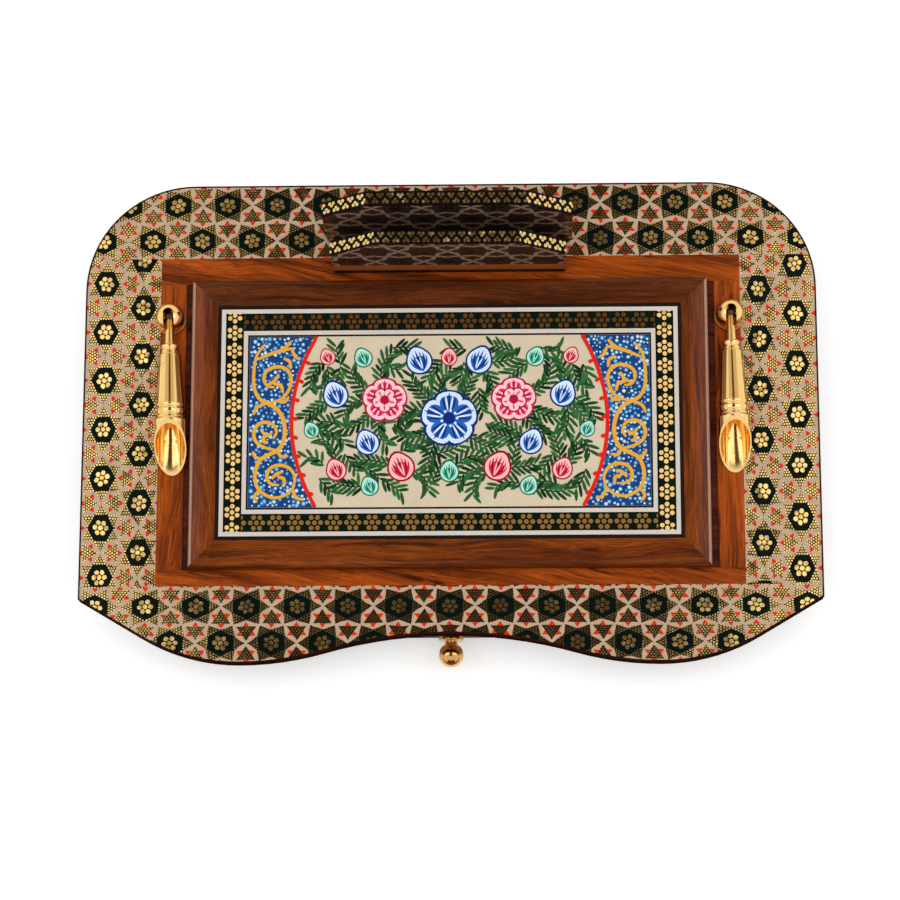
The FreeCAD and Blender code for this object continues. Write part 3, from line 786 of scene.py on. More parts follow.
@dataclass(frozen=True)
class StarInlay(Inlay):
    """Star mosaic."""

    bone: Colour = BONE
    hexagon: Colour = HEXAGON_WOOD
    ground: Colour = MOSAIC_WOOD
    red: Colour = RED_WOOD
    tip: float = 0.472
    tip_base: float = 0.148

    def pattern(self, tree: Tree, along: Field, across: Field) -> Node:
        """Stars with a shared set of woods, bone and brass."""
        return INLAY.stars.place(tree, {
            "Along": along, "Across": across, "Tip": self.tip, "Tip Base": self.tip_base, "Bone": self.bone,
            "Ground": self.ground, "Hexagon": self.hexagon, "Red": self.red, "Brass": self.rod})


@dataclass(frozen=True)
class FlowerInlay(Inlay):
    """Strip of rod flowers."""

    def pattern(self, tree: Tree, along: Field, across: Field) -> Node:
        """Flowers on black wood with green blocks."""
        return INLAY.flowers.place(tree, {"Along": along, "Across": across, "Ground": BLACK_WOOD,
                                          "Block": GREEN_WOOD, "Brass": self.rod})


@dataclass(frozen=True)
class TrefoilInlay(Inlay):
    """Narrow edging of three-rod groups."""

    def pattern(self, tree: Tree, along: Field, across: Field) -> Node:
        """Groups of brass rods on black wood."""
        return INLAY.trefoils.place(tree, {"Along": along, "Across": across, "Ground": BLACK_WOOD,
                                           "Brass": self.rod})


@dataclass(frozen=True)
class Wood(Finish):
    """Solid wood or veneer, lacquered or oiled."""

    grain: Axis
    light: Colour
    dark: Colour
    streak: Colour
    streaks: float = 0.85
    roughness: float = 0.42
    coat: float = 0.12
    depth: float = 0.02
    slant: float = 0.0
    gloss: float = LACQUER_SPECULAR
    # Pale colour of a painted highlight on rounded edges that lean left or right; None for none
    edge_highlight: Colour | None = None

    COAT_ROUGHNESS = 0.09
    HIGHLIGHT_START = (0.3, 0.5)
    HIGHLIGHT_END = (0.82, 0.95)

    def paint(self, tree: Tree, shader: Node) -> None:
        """Grain along one axis, with a fine bump and, if asked, a painted highlight on rounded edges that
        lean left or right.
        """
        place = self.place(tree)
        parts = [part * (1 / MM) for part in tree.split(place)]
        order = [self.grain] + [axis for axis in Axis if axis is not self.grain]
        run, side, rise = (parts[axis.value] for axis in order)
        turned = tree.join(run, side + run * math.tan(math.radians(self.slant)), rise)
        node = INLAY.grain.place(tree, {"Vector": turned, "Light": self.light, "Dark": self.dark,
                                        "Streak": self.streak, "Streaks": self.streaks})
        colour = node.outputs["Color"]
        # Painted highlight: a pale colour on faces whose normal leans left or right, standing in for the
        # lamps' reflection on the rounded edges
        if self.edge_highlight is not None:
            lean = abs(tree.split(tree.node("ShaderNodeNewGeometry").outputs["Normal"])[Axis.X.value])
            highlight_share = lean.ramp(*self.HIGHLIGHT_START) * (1.0 - lean.ramp(*self.HIGHLIGHT_END))
            colour = tree.mix(highlight_share, colour, self.edge_highlight)
        tree.feed(colour, shader.inputs["Base Color"])
        gloss = self.rub(tree, place, self.roughness)
        tree.feed(gloss.outputs["Roughness"], shader.inputs["Roughness"])
        self.bump(tree, shader, tree.field(node.outputs["Height"]), self.depth)
        lacquered(shader, self.coat, self.COAT_ROUGHNESS)
        shader.inputs["Specular IOR Level"].default_value = self.gloss


@dataclass(frozen=True)
class Line(Finish):
    """Thin stringing of bone or black wood."""

    colour: Colour

    FLECK_RATE = 900.0
    CLOUD_RATE = 60.0
    ROUGHNESS = 0.38

    def paint(self, tree: Tree, shader: Node) -> None:
        """One colour with faint fibres and flecks."""
        place = self.place(tree)
        fleck = tree.cloud(place, self.FLECK_RATE, 4.0)
        cloud = tree.cloud(place, self.CLOUD_RATE, 2.0)
        tree.feed(tree.scale(self.colour, fleck * 0.24 + cloud * 0.2 + 0.78), shader.inputs["Base Color"])
        gloss = self.rub(tree, place, self.ROUGHNESS)
        tree.feed(gloss.outputs["Roughness"], shader.inputs["Roughness"])
        self.bump(tree, shader, tree.field(gloss.outputs["Height"]), LACQUER_DEPTH)
        lacquered(shader, LACQUER_COAT, LACQUER_ROUGHNESS)


@dataclass(frozen=True)
class Paint(Finish):
    """Brushed colour under lacquer, taken from each mesh's own paint attribute, or one ground colour."""

    ground: Colour | None = None

    CLOUD_RATE = 120.0
    BRUSH_RATES = (500.0, 2600.0, 500.0)
    ROUGHNESS = 0.34

    def paint(self, tree: Tree, shader: Node) -> None:
        """Colour with faint brush marks."""
        place = self.place(tree)
        colour = self.ground
        if colour is None:
            colour = tree.node("ShaderNodeAttribute", attribute_name="paint").outputs["Color"]
        cloud = tree.cloud(place, self.CLOUD_RATE, 4.0)
        brush = tree.stretched_noise(place, self.BRUSH_RATES, 2.0)
        tree.feed(tree.scale(colour, cloud * 0.22 + brush * 0.16 + 0.81), shader.inputs["Base Color"])
        gloss = self.rub(tree, place, self.ROUGHNESS)
        tree.feed(gloss.outputs["Roughness"], shader.inputs["Roughness"])
        self.bump(tree, shader, brush + cloud, LACQUER_DEPTH)
        lacquered(shader, LACQUER_COAT, LACQUER_ROUGHNESS)


@dataclass(frozen=True)
class Metal(Finish):
    """Turned and polished metal with faint tool marks and handling."""

    colour: Colour
    stain: Colour
    roughness: float

    CLOUD_RATE = 150.0
    SCRATCH_RATES = (900.0, 6000.0, 900.0)
    SCRATCH_DEPTH = 0.004

    def paint(self, tree: Tree, shader: Node) -> None:
        """Metal with a little tarnish."""
        place = self.place(tree)
        cloud = tree.cloud(place, self.CLOUD_RATE, 4.0)
        scratch = tree.stretched_noise(place, self.SCRATCH_RATES, 3.0)
        tarnish = cloud.ramp(0.52, 0.75) * 0.6
        tree.feed(tree.mix(tarnish, self.colour, self.stain), shader.inputs["Base Color"])
        shader.inputs["Metallic"].default_value = 1.0
        uneven = (cloud - 0.5) * 0.16 + (scratch - 0.5) * 0.1
        tree.feed(uneven + self.roughness, shader.inputs["Roughness"])
        self.bump(tree, shader, scratch, self.SCRATCH_DEPTH)


@dataclass(frozen=True)
class Velvet(Finish):
    """Short pile cloth."""

    colour: Colour
    shade: Colour

    BRUSHED_RATE = 28.0
    PILE_RATE = 2600.0
    PILE_DEPTH = 0.25

    def paint(self, tree: Tree, shader: Node) -> None:
        """Pile that is brushed one way here and another there."""
        place = self.place(tree)
        brushed = tree.cloud(place, self.BRUSHED_RATE, 3.0)
        pile = tree.cloud(place, self.PILE_RATE, 3.0)
        colour = tree.mix(brushed.ramp(0.35, 0.7), self.shade, self.colour)
        tree.feed(tree.scale(colour, pile * 0.7 + 0.65), shader.inputs["Base Color"])
        set_inputs(shader, {"Roughness": 0.95, "Sheen Weight": 0.35, "Sheen Tint": self.colour,
                            "Sheen Roughness": 0.4})
        self.bump(tree, shader, pile + brushed, self.PILE_DEPTH)


STAR_TOPS = {
    "khatam_front": StarInlay("stars_front", Axis.X, Axis.Y, 21.1, (0.0, -79.3), 0.835, lean=0.07,
                              tip=0.482, tip_base=0.158),
    "khatam_rear": StarInlay("stars_rear", Axis.X, Axis.Y, 21.2, (0.5, 78.4), 0.86, lean=0.07,
                             tip=0.478, tip_base=0.152),
    "khatam_left": StarInlay("stars_left", Axis.Y, Axis.X, 21.1, (-56.3, -130.2), 0.866),
    "khatam_right": StarInlay("stars_right", Axis.Y, Axis.X, 21.8, (12.0, 130.5), 0.82),
}
STAR_SIDE = StarInlay("stars_side", Axis.Y, Axis.Z, 19.0, (-1.5, 20.5), 0.86)
STAR_FACE = StarInlay("stars_face", Axis.X, Axis.Z, 19.0, (0.0, 20.5), 0.86)
# Card plate faces: the star mosaic in darker copies of its colours, as painted shade on the upright faces
SHADED_STAR_CARD = {side: StarInlay(f"stars_card_{side}", Axis.X, Axis.Z, 20.4, (0.0, 60.0), 0.86, foot=foot,
                             rod=srgb(188, 156, 98), bone=srgb(156, 134, 114), hexagon=srgb(50, 44, 36),
                             ground=srgb(74, 55, 43), red=srgb(136, 60, 40))
             for side, foot in (("front", 54.6), ("rear", None))}
TREFOILS = {side: TrefoilInlay(f"trefoils_{side}", Axis.X, Axis.Y, 4.15, (0.0, middle), 1.12, lean=0.3,
                               wobble=0.5, bias=(0.0, -0.28, 0.0))
            for side, middle in (("front", 66.6), ("rear", 80.85))}
BAND_WOOD = {axis: Wood(f"band_{axis.name}", axis, srgb(158, 70, 14), srgb(100, 40, 7), srgb(36, 13, 4),
                        slant=slant) for axis, slant in ((Axis.X, 11.0), (Axis.Y, -4.0))}
# The left and right frame members get a painted highlight on their rounded outer edges
FRAME_WOOD = {axis: Wood(f"frame_{axis.name}", axis, srgb(124, 57, 12), srgb(84, 34, 5), srgb(38, 14, 4),
                         0.7, coat=0.3, edge_highlight=edge_highlight)
              for axis, edge_highlight in ((Axis.X, None), (Axis.Y, srgb(176, 136, 116)))}
# The rear frame member: a darker copy of the frame wood, as painted shade
SHADED_REAR_FRAME_WOOD = Wood("frame_rear", Axis.X, srgb(94, 44, 15), srgb(66, 28, 9), srgb(32, 12, 5), 0.7,
                       coat=0.3)
DARK_WOOD = {axis: Wood(f"dark_{axis.name}", axis, srgb(52, 26, 18), srgb(36, 18, 13), srgb(20, 10, 8))
             for axis in (Axis.X, Axis.Y)}
DRAWER_WOOD = {axis: Wood(f"drawer_{axis.name}", axis, srgb(196, 158, 112), srgb(172, 130, 86),
                          srgb(132, 92, 56), 0.4, roughness=0.6, coat=0.0, depth=0.04)
               for axis in (Axis.X, Axis.Y)}
BOARD_WOOD = Wood("board", Axis.X, srgb(88, 39, 23), srgb(60, 25, 15), srgb(30, 12, 8))
EDGE_WOOD = Wood("edge", Axis.X, srgb(44, 22, 16), srgb(32, 15, 11), srgb(20, 10, 8), 0.5, roughness=0.85,
                 coat=0.0, gloss=0.0)
BLACK_LINE = Line("black_line", srgb(30, 21, 19))
BONE_LINE = Line("bone_line", srgb(204, 194, 182))
FIELD = Paint("painted_field", srgb(208, 191, 163))
PAINT = Paint("painted_colours")
BRASS = Metal("polished_brass", srgb(248, 206, 134), srgb(224, 168, 94), 0.15)
# Pen bases: brass darkened as painted shade below the domed heads
SHADED_BASE_BRASS = Metal("shaded_base_brass", srgb(168, 116, 58), srgb(120, 78, 38), 0.28)
KNOB_BRASS = Metal("knob_brass", srgb(214, 164, 98), srgb(172, 118, 58), 0.16)
STEEL = Metal("bright_steel", srgb(190, 186, 180), srgb(150, 144, 136), 0.3)
# Funnel eye balls: steel darkened as painted shade inside the heads' slots
SHADED_EYE_STEEL = Metal("dark_steel", srgb(84, 70, 64), srgb(40, 32, 30), 0.2)
VELVET = Velvet("lining_velvet", srgb(124, 18, 26), srgb(98, 12, 19))


# Pieces

WELD = 0.001
FLAT_ANGLE = 0.5
SHARP_ANGLE = 40.0


def add_object(name: str, data: bpy.types.ID) -> bpy.types.Object:
    """Put an object with some data into the scene."""
    made = bpy.data.objects.new(name, data)
    bpy.context.scene.collection.objects.link(made)
    return made


def dress(node: str, finish: Finish) -> None:
    """Give a CAD node its finish.

    Args:
        node: The node's name.
        finish: Its finish.
    """
    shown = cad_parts[node]
    shown.data.materials.clear()
    shown.data.materials.append(finish.material())
    LOG.info("dressed %s in %s", node, finish.name)


def add_piece(name: str, mesh: Mesh, finish: Finish, body: str,
              stands_for: tuple[str, ...] = ()) -> bpy.types.Object:
    """Put a finished mesh into the scene, on its body.

    Args:
        name: The piece's name.
        mesh: Its mesh, in the box's frame.
        finish: Its finish.
        body: The CAD body that it moves with.
        stands_for: The CAD nodes that it replaces.

    Returns:
        The piece.
    """
    mesh.materials.clear()
    mesh.materials.append(finish.material())
    for face in mesh.polygons:
        face.material_index = 0
    piece = add_object(name, mesh)
    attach(piece, body)
    if stands_for:
        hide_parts(*stands_for)
    LOG.info("added %s: %d faces on %s", name, len(mesh.polygons), body)
    return piece


def smooth_mesh(shape: BMesh, name: str, crease: float = 35.0) -> Mesh:
    """Turn a bmesh into a smoothly shaded mesh.

    Args:
        shape: The shape, which is freed.
        name: The mesh's name.
        crease: Edges that bend by more than this many degrees stay sharp.

    Returns:
        The mesh.
    """
    mesh = bpy.data.meshes.new(name)
    shape.to_mesh(mesh)
    shape.free()
    normals = mesh.attributes.get("custom_normal")
    if normals:
        mesh.attributes.remove(normals)
    mesh.shade_smooth()
    mesh.set_sharp_from_angle(angle=math.radians(crease))
    return mesh


def soften(node: str, finish: Finish, body: str, edge: float) -> None:
    """Replace a CAD node by a copy with smooth rounds and worn edges.

    Args:
        node: The node's name.
        finish: Its finish.
        body: The body that it moves with.
        edge: Width that is taken off sharp edges, in millimetres.
    """
    shape = bmesh.new()
    shape.from_mesh(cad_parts[node].data)
    bmesh.ops.remove_doubles(shape, verts=shape.verts, dist=WELD * MM)
    bmesh.ops.dissolve_limit(shape, angle_limit=math.radians(FLAT_ANGLE), verts=shape.verts,
                             edges=shape.edges)
    if edge:
        limit = math.radians(SHARP_ANGLE)
        sharp = [e for e in shape.edges if e.is_manifold and e.calc_face_angle() > limit]
        bmesh.ops.bevel(shape, geom=sharp, offset=edge * MM, segments=2, profile=0.6, affect="EDGES",
                        clamp_overlap=True)
    add_piece(f"soft_{node}", smooth_mesh(shape, f"soft_{node}"), finish, body, (node,))


def lathe(profile: Path, segments: int) -> BMesh:
    """Turn a profile round the -Y axis.

    Args:
        profile: Radius and distance along -Y, in millimetres, from one end on the axis to the other.
        segments: Faces round the axis.

    Returns:
        The closed shape, in metres.
    """
    shape = bmesh.new()
    rings = []
    for radius, along in profile:
        if radius == 0:
            rings.append([shape.verts.new((0, -along * MM, 0))])
            continue
        ring = []
        for i in range(segments):
            angle = TURN * i / segments
            x, z = radius * math.cos(angle), radius * math.sin(angle)
            ring.append(shape.verts.new((x * MM, -along * MM, z * MM)))
        rings.append(ring)
    for first, second in zip(rings, rings[1:]):
        for i in range(segments):
            j = (i + 1) % segments
            corners = [first[i % len(first)], first[j % len(first)],
                       second[j % len(second)], second[i % len(second)]]
            shape.faces.new(list(dict.fromkeys(corners)))
    bmesh.ops.recalc_face_normals(shape, faces=shape.faces)
    return shape


def rounded(profile: Path, radius: float, steps: int = 3) -> Path:
    """Round the corners of a profile.

    Args:
        profile: Points of the profile, its ends kept as they are.
        radius: How far from each corner the round starts, at most 40% of the shorter side.
        steps: Points in each round.

    Returns:
        The rounded profile.
    """
    smooth = [profile[0]]
    for before, corner, after in zip(profile, profile[1:], profile[2:]):
        a, c, b = Vector(before), Vector(corner), Vector(after)
        reach = min(radius, 0.4 * (a - c).length, 0.4 * (b - c).length)
        start = c + (a - c).normalized() * reach
        end = c + (b - c).normalized() * reach
        for i in range(steps + 1):
            t = i / steps
            smooth.append(tuple(start * (1 - t) ** 2 + c * (2 * t * (1 - t)) + end * t ** 2))
    smooth.append(profile[-1])
    return smooth


@dataclass
class ShapedTop:
    """The overhanging top: board, dark edge, star mosaic sheets and plain wood bands."""

    bands: dict[str, Axis] = field(default_factory=lambda: {
        "band_front": Axis.X, "band_rear": Axis.X, "band_left": Axis.Y, "band_right": Axis.Y})

    def dress(self) -> None:
        """Give each sheet, band and board its finish."""
        for node, finish in STAR_TOPS.items():
            dress(node, finish)
        for node, axis in self.bands.items():
            dress(node, BAND_WOOD[axis])
        dress("top_board", BOARD_WOOD)
        dress("top_edge_band", EDGE_WOOD)


@dataclass(frozen=True)
class Strip:
    """How a flower strip lies, which way its rods lean, and their brass tone, which holds painted shade on
    the front and rear strips.
    """

    along: Axis
    across: Axis
    bias: Triple
    rod: Colour


@dataclass
class RaisedFrame:
    """Mitred mouldings round the panel, and the lines and strips inside them."""

    members: dict[str, Axis] = field(default_factory=lambda: {
        "frame_front": Axis.X, "frame_rear": Axis.X, "frame_left": Axis.Y, "frame_right": Axis.Y})
    strips: dict[str, Strip] = field(default_factory=lambda: {
        "left": Strip(Axis.Y, Axis.X, (-0.11, 0.0, 0.0), STRIP_BRASS),
        "right": Strip(Axis.Y, Axis.X, (0.11, 0.0, 0.0), STRIP_BRASS),
        # The front and rear strips' brass is darker, as painted shade
        "front": Strip(Axis.X, Axis.Y, (0.0, -0.4, 0.0), SHADED_BRASS),
        "rear": Strip(Axis.X, Axis.Y, (0.0, -0.4, 0.0), REAR_SHADED_BRASS)})
    strip_pitch: dict[Axis, float] = field(default_factory=lambda: {Axis.X: 8.0, Axis.Y: 7.68})
    strip_lean: float = 0.2
    strip_wobble: float = 0.4

    def build(self) -> None:
        """Smooth the mouldings' rounded edges."""
        for node, axis in self.members.items():
            # The rear member takes the darker copy of the wood, as painted shade
            finish = SHADED_REAR_FRAME_WOOD if node == "frame_rear" else FRAME_WOOD[axis]
            soften(node, finish, "case", 0.0)

    def dress(self) -> None:
        """Finish the lines, the flower strips and the core."""
        for node in ("outer_black_line", "inner_black_line"):
            dress(node, BLACK_LINE)
        for node in ("outer_bone_line", "inner_bone_line"):
            dress(node, BONE_LINE)
        for side, strip in self.strips.items():
            low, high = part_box(f"strip_{side}")
            middle = (Vector(low) + Vector(high)) / 2 / MM
            start = (middle[strip.along.value], middle[strip.across.value])
            dress(f"strip_{side}", FlowerInlay(
                f"flowers_{side}", strip.along, strip.across, self.strip_pitch[strip.along], start,
                lean=self.strip_lean, wobble=self.strip_wobble, bias=strip.bias, rod=strip.rod))
        dress("panel_core", DRAWER_WOOD[Axis.X])
        dress("painted_panel", FIELD)


# The painted panel's own shapes

class Palette(Enum):
    """Outline, body and light of a painted bloom."""

    PINK = (srgb(176, 20, 58), srgb(228, 66, 98), srgb(252, 196, 204))
    BLUE = (srgb(14, 42, 116), srgb(38, 92, 178), srgb(206, 224, 244))
    RED = (srgb(150, 14, 30), srgb(214, 40, 62), srgb(250, 184, 184))
    TEAL = (srgb(8, 96, 76), srgb(40, 150, 124), srgb(176, 226, 206))


class BloomKind(Enum):
    """Kinds of painted bloom."""

    BUD = "bud"
    ROSE = "rose"
    STAR = "star"


@dataclass(frozen=True)
class Bloom:
    """One painted bloom: its colours, place from the panel's middle, radius and kind."""

    palette: Palette
    x: float
    y: float
    radius: float
    kind: BloomKind = BloomKind.BUD


class PaintMesh:
    """Thin raised brush marks, each a closed slip with a colour of its own."""

    SUNK = 49.97
    LAYERS = 12
    LAYER = 0.0016

    def __init__(self, middle: Point) -> None:
        """Start with no marks; places are from the panel's middle."""
        self.middle = middle
        self.points: list[Triple] = []
        self.faces: list[list[int]] = []
        self.colours: list[Colour] = []
        self.slips = 0

    def slip(self, outline: Path, colour: Colour, height: float) -> None:
        """Add a flat mark, a hair above or below the one before, so that marks never share a face.

        Args:
            outline: Its outline.
            colour: Its colour.
            height: Its upper face, in millimetres above the underside of the box.
        """
        area = sum(a[0] * b[1] - b[0] * a[1] for a, b in zip(outline, outline[1:] + outline[:1]))
        if area < 0:
            outline = outline[::-1]
        count = len(outline)
        base = len(self.points)
        self.slips += 1
        middle_x, middle_y = self.middle
        for level in (height + self.slips % self.LAYERS * self.LAYER, self.SUNK):
            self.points += [((x + middle_x) * MM, (y + middle_y) * MM, level * MM) for x, y in outline]
        self.faces.append(list(range(base, base + count)))
        self.faces.append(list(range(base + 2 * count - 1, base + count - 1, -1)))
        for i in range(count):
            j = (i + 1) % count
            self.faces.append([base + i, base + count + i, base + count + j, base + j])
        self.colours += [colour] * (count + 2)

    def stroke(self, path: Path, width: float, colour: Colour, height: float,
               taper: float = 0.15) -> None:
        """Add a brush stroke that swells in its middle.

        Args:
            path: Points along it.
            width: Its widest part.
            colour: Its colour.
            height: Its upper face.
            taper: Width of its ends, as a share of the widest part.
        """
        left, right = [], []
        last = len(path) - 1
        for i, (x, y) in enumerate(path):
            before, after = path[max(i - 1, 0)], path[min(i + 1, last)]
            along = Vector((after[0] - before[0], after[1] - before[1])).normalized()
            half = width / 2 * (taper + (1 - taper) * math.sin(math.pi * i / last) ** 0.7)
            left.append((x - along.y * half, y + along.x * half))
            right.append((x + along.y * half, y - along.x * half))
        self.slip(left + right[::-1], colour, height)

    def mesh(self, name: str) -> Mesh:
        """All the marks as one mesh, with their colours in the paint attribute.

        Args:
            name: The mesh's name.

        Returns:
            The mesh.
        """
        made = bpy.data.meshes.new(name)
        made.from_pydata(self.points, [], self.faces)
        paint = made.attributes.new("paint", "FLOAT_COLOR", "CORNER")
        for face, colour in zip(made.polygons, self.colours):
            for corner in face.loop_indices:
                paint.data[corner].color = colour
        return made


def polar(x: float, y: float, reach: float, angle: float) -> Point:
    """The point at a distance and in a direction from another."""
    return (x + reach * math.cos(angle), y + reach * math.sin(angle))


def egg(x: float, y: float, radius: float, point: float, turn: float, count: int = 26) -> Path:
    """Round outline drawn out to a point.

    Args:
        x: Its middle.
        y: The same, the other way.
        radius: Its radius.
        point: How far the tip stands out, as a share of the radius.
        turn: Direction of the tip.
        count: Points in the outline.

    Returns:
        The outline.
    """
    outline = []
    for i in range(count):
        angle = TURN * i / count
        reach = radius * (1 + point * max(0.0, math.cos(angle)) ** 7)
        outline.append(polar(x, y, reach, angle + turn))
    return outline


def petal(x: float, y: float, length: float, width: float, turn: float, count: int = 18) -> Path:
    """Petal outline, narrow at its root and round at its end.

    Args:
        x: Its root.
        y: The same, the other way.
        length: From root to end.
        width: Its widest part.
        turn: Direction of its end.
        count: Points in the outline.

    Returns:
        The outline.
    """
    outline = []
    for i in range(count):
        angle = TURN * i / count
        along = length * (1 - math.cos(angle)) / 2
        half = width / 2 * math.sin(angle) * (0.45 + 0.75 * along / length)
        outline.append((x + along * math.cos(turn) - half * math.sin(turn),
                        y + along * math.sin(turn) + half * math.cos(turn)))
    return outline


def ray(x: float, y: float, start: float, end: float, turn: float, bend: float = 0.0) -> Path:
    """Short curved path that leads out from a point.

    Args:
        x: The point.
        y: The same, the other way.
        start: Distance of the path's first point.
        end: Distance of its last point.
        turn: Its direction.
        bend: How far the direction turns on the way, in radians.

    Returns:
        The path.
    """
    steps = 7
    path = []
    for i in range(steps + 1):
        share = i / steps
        angle = turn + bend * share * share
        reach = start + (end - start) * share
        path.append(polar(x, y, reach, angle))
    return path


def flowing(points: Path, steps: int = 6) -> Path:
    """Smooth path through points.

    Args:
        points: The points.
        steps: Runs between two of them.

    Returns:
        The path.
    """
    ends = [points[0], *points, points[-1]]
    path = []
    for corners in zip(ends, ends[1:], ends[2:], ends[3:]):
        a, b, c, d = (Vector(corner) for corner in corners)
        for i in range(steps):
            t = i / steps
            bend = (a * 2 - b * 5 + c * 4 - d) * t ** 2 + (b * 3 - a - c * 3 + d) * t ** 3
            path.append(tuple((b * 2 + (c - a) * t + bend) / 2))
    path.append(points[-1])
    return path


class SlipPrimitive:
    """Geometry nodes for one thin rounded mark of unit radius."""

    THICKNESS = 0.12 * MM
    THICKNESS_SHIFT = 3.0
    COLOUR_SHIFT = 7.0

    @classmethod
    def add(cls, tree: Tree, corners: int) -> Socket:
        """Add a flat disc with a few corners.

        Args:
            tree: The tree to add it to.
            corners: Corners round the disc.

        Returns:
            The disc's geometry.
        """
        disc = tree.node("GeometryNodeMeshCylinder")
        set_inputs(disc, {"Vertices": corners, "Radius": MM, "Depth": cls.THICKNESS})
        return disc.outputs["Mesh"]

    @staticmethod
    def chance(group: ShapeGroup, low: object, high: object, shift: float = 0.0) -> Field:
        """A random number for each mark.

        Args:
            group: The tree, with a Seed input.
            low: The least number, or a socket that gives it.
            high: The greatest number, or a socket that gives it.
            shift: What is added to the seed.

        Returns:
            The number.
        """
        node = group.tree.node("FunctionNodeRandomValue", data_type="FLOAT")
        for value, socket in ((low, 2), (high, 3), (group.number("Seed") + shift, 8)):
            group.tree.feed(value, node.inputs[socket])
        return group.tree.field(node.outputs[1])

    @classmethod
    def thickness(cls, group: ShapeGroup) -> Field:
        """Random thickness, so that marks that cross never share a face."""
        return cls.chance(group, 0.7, 1.5, cls.THICKNESS_SHIFT) * group.number("Thickness")

    @classmethod
    def finish(cls, group: ShapeGroup, instances: Socket) -> None:
        """Colour each mark at random between two colours and make the marks real.

        Args:
            group: The tree, with First, Second, Seed and Finish inputs.
            instances: The marks.
        """
        tree = group.tree
        share = cls.chance(group, 0.0, 1.0, cls.COLOUR_SHIFT)
        colour = tree.mix(share, group.given("First"), group.given("Second"))
        store = tree.node("GeometryNodeStoreNamedAttribute", data_type="FLOAT_COLOR", domain="INSTANCE")
        store.inputs["Name"].default_value = "paint"
        tree.feed(instances, store.inputs["Geometry"])
        tree.feed(colour, store.inputs["Value"])
        real = tree.node("GeometryNodeRealizeInstances")
        tree.feed(store.outputs[0], real.inputs[0])
        finish = tree.node("GeometryNodeSetMaterial")
        tree.feed(real.outputs[0], finish.inputs["Geometry"])
        tree.feed(group.given("Finish"), finish.inputs["Material"])
        group.put("Geometry", finish.outputs[0])


COLOURED_MARKS = {"Geometry": SocketKind.SHAPE, "Seed": SocketKind.WHOLE, "First": SocketKind.COLOUR,
                  "Second": SocketKind.COLOUR, "Finish": SocketKind.FINISH, "Thickness": SocketKind.NUMBER}
DOT_DENSITY = 900000.0


def build_dots() -> ShapeGroup:
    """Tree that scatters round dots over a surface.

    Returns:
        The tree; Spacing is in metres, Least and Most are radii in millimetres.
    """
    sizes = sockets(SocketKind.NUMBER, "Spacing", "Least", "Most")
    group = ShapeGroup("scattered_dots", {**COLOURED_MARKS, **sizes}, {"Geometry": SocketKind.SHAPE})
    tree = group.tree
    points = tree.node("GeometryNodeDistributePointsOnFaces", distribute_method="POISSON")
    points.inputs["Density Max"].default_value = DOT_DENSITY
    tree.feed(group.given("Geometry"), points.inputs["Mesh"])
    tree.feed(group.given("Spacing"), points.inputs["Distance Min"])
    tree.feed(group.given("Seed"), points.inputs["Seed"])
    radius = SlipPrimitive.chance(group, group.given("Least"), group.given("Most"))
    place = tree.node("GeometryNodeInstanceOnPoints")
    tree.feed(points.outputs["Points"], place.inputs["Points"])
    tree.feed(SlipPrimitive.add(tree, 9), place.inputs["Instance"])
    tree.feed(tree.join(radius, radius, SlipPrimitive.thickness(group)), place.inputs["Scale"])
    SlipPrimitive.finish(group, place.outputs[0])
    return group


def build_sprays() -> ShapeGroup:
    """Tree that sets leaflets along ribs, first on one side and then on the other.

    Returns:
        The tree; Step is in metres, Length and Width are half sizes in millimetres, Lean is in radians.
    """
    sizes = sockets(SocketKind.NUMBER, "Step", "Length", "Width", "Lean")
    group = ShapeGroup("leaf_sprays", {**COLOURED_MARKS, **sizes}, {"Geometry": SocketKind.SHAPE})
    tree = group.tree
    points = tree.node("GeometryNodeCurveToPoints", mode="LENGTH")
    tree.feed(group.given("Geometry"), points.inputs["Curve"])
    tree.feed(group.given("Step"), points.inputs["Length"])
    along = tree.node("FunctionNodeAlignRotationToVector", axis="X", pivot_axis="Z")
    tree.feed(points.outputs["Tangent"], along.inputs["Vector"])
    side = tree.field(tree.node("GeometryNodeInputIndex").outputs[0]).math("MODULO", 2.0) * 2.0 - 1.0
    euler = tree.node("FunctionNodeEulerToRotation")
    tree.feed(tree.join(0.0, 0.0, side * group.number("Lean")), euler.inputs[0])
    turned = tree.node("FunctionNodeRotateRotation", rotation_space="LOCAL")
    tree.feed(along.outputs[0], turned.inputs["Rotation"])
    tree.feed(euler.outputs[0], turned.inputs["Rotate By"])
    root = tree.node("GeometryNodeTransform")
    tree.feed(SlipPrimitive.add(tree, 10), root.inputs["Geometry"])
    root.inputs["Translation"].default_value = (MM, 0.0, 0.0)
    growth = SlipPrimitive.chance(group, 0.7, 1.15)
    place = tree.node("GeometryNodeInstanceOnPoints")
    tree.feed(points.outputs["Points"], place.inputs["Points"])
    tree.feed(root.outputs[0], place.inputs["Instance"])
    tree.feed(turned.outputs[0], place.inputs["Rotation"])
    size = tree.join(growth * group.number("Length"), group.number("Width"), SlipPrimitive.thickness(group))
    tree.feed(size, place.inputs["Scale"])
    SlipPrimitive.finish(group, place.outputs[0])
    return group


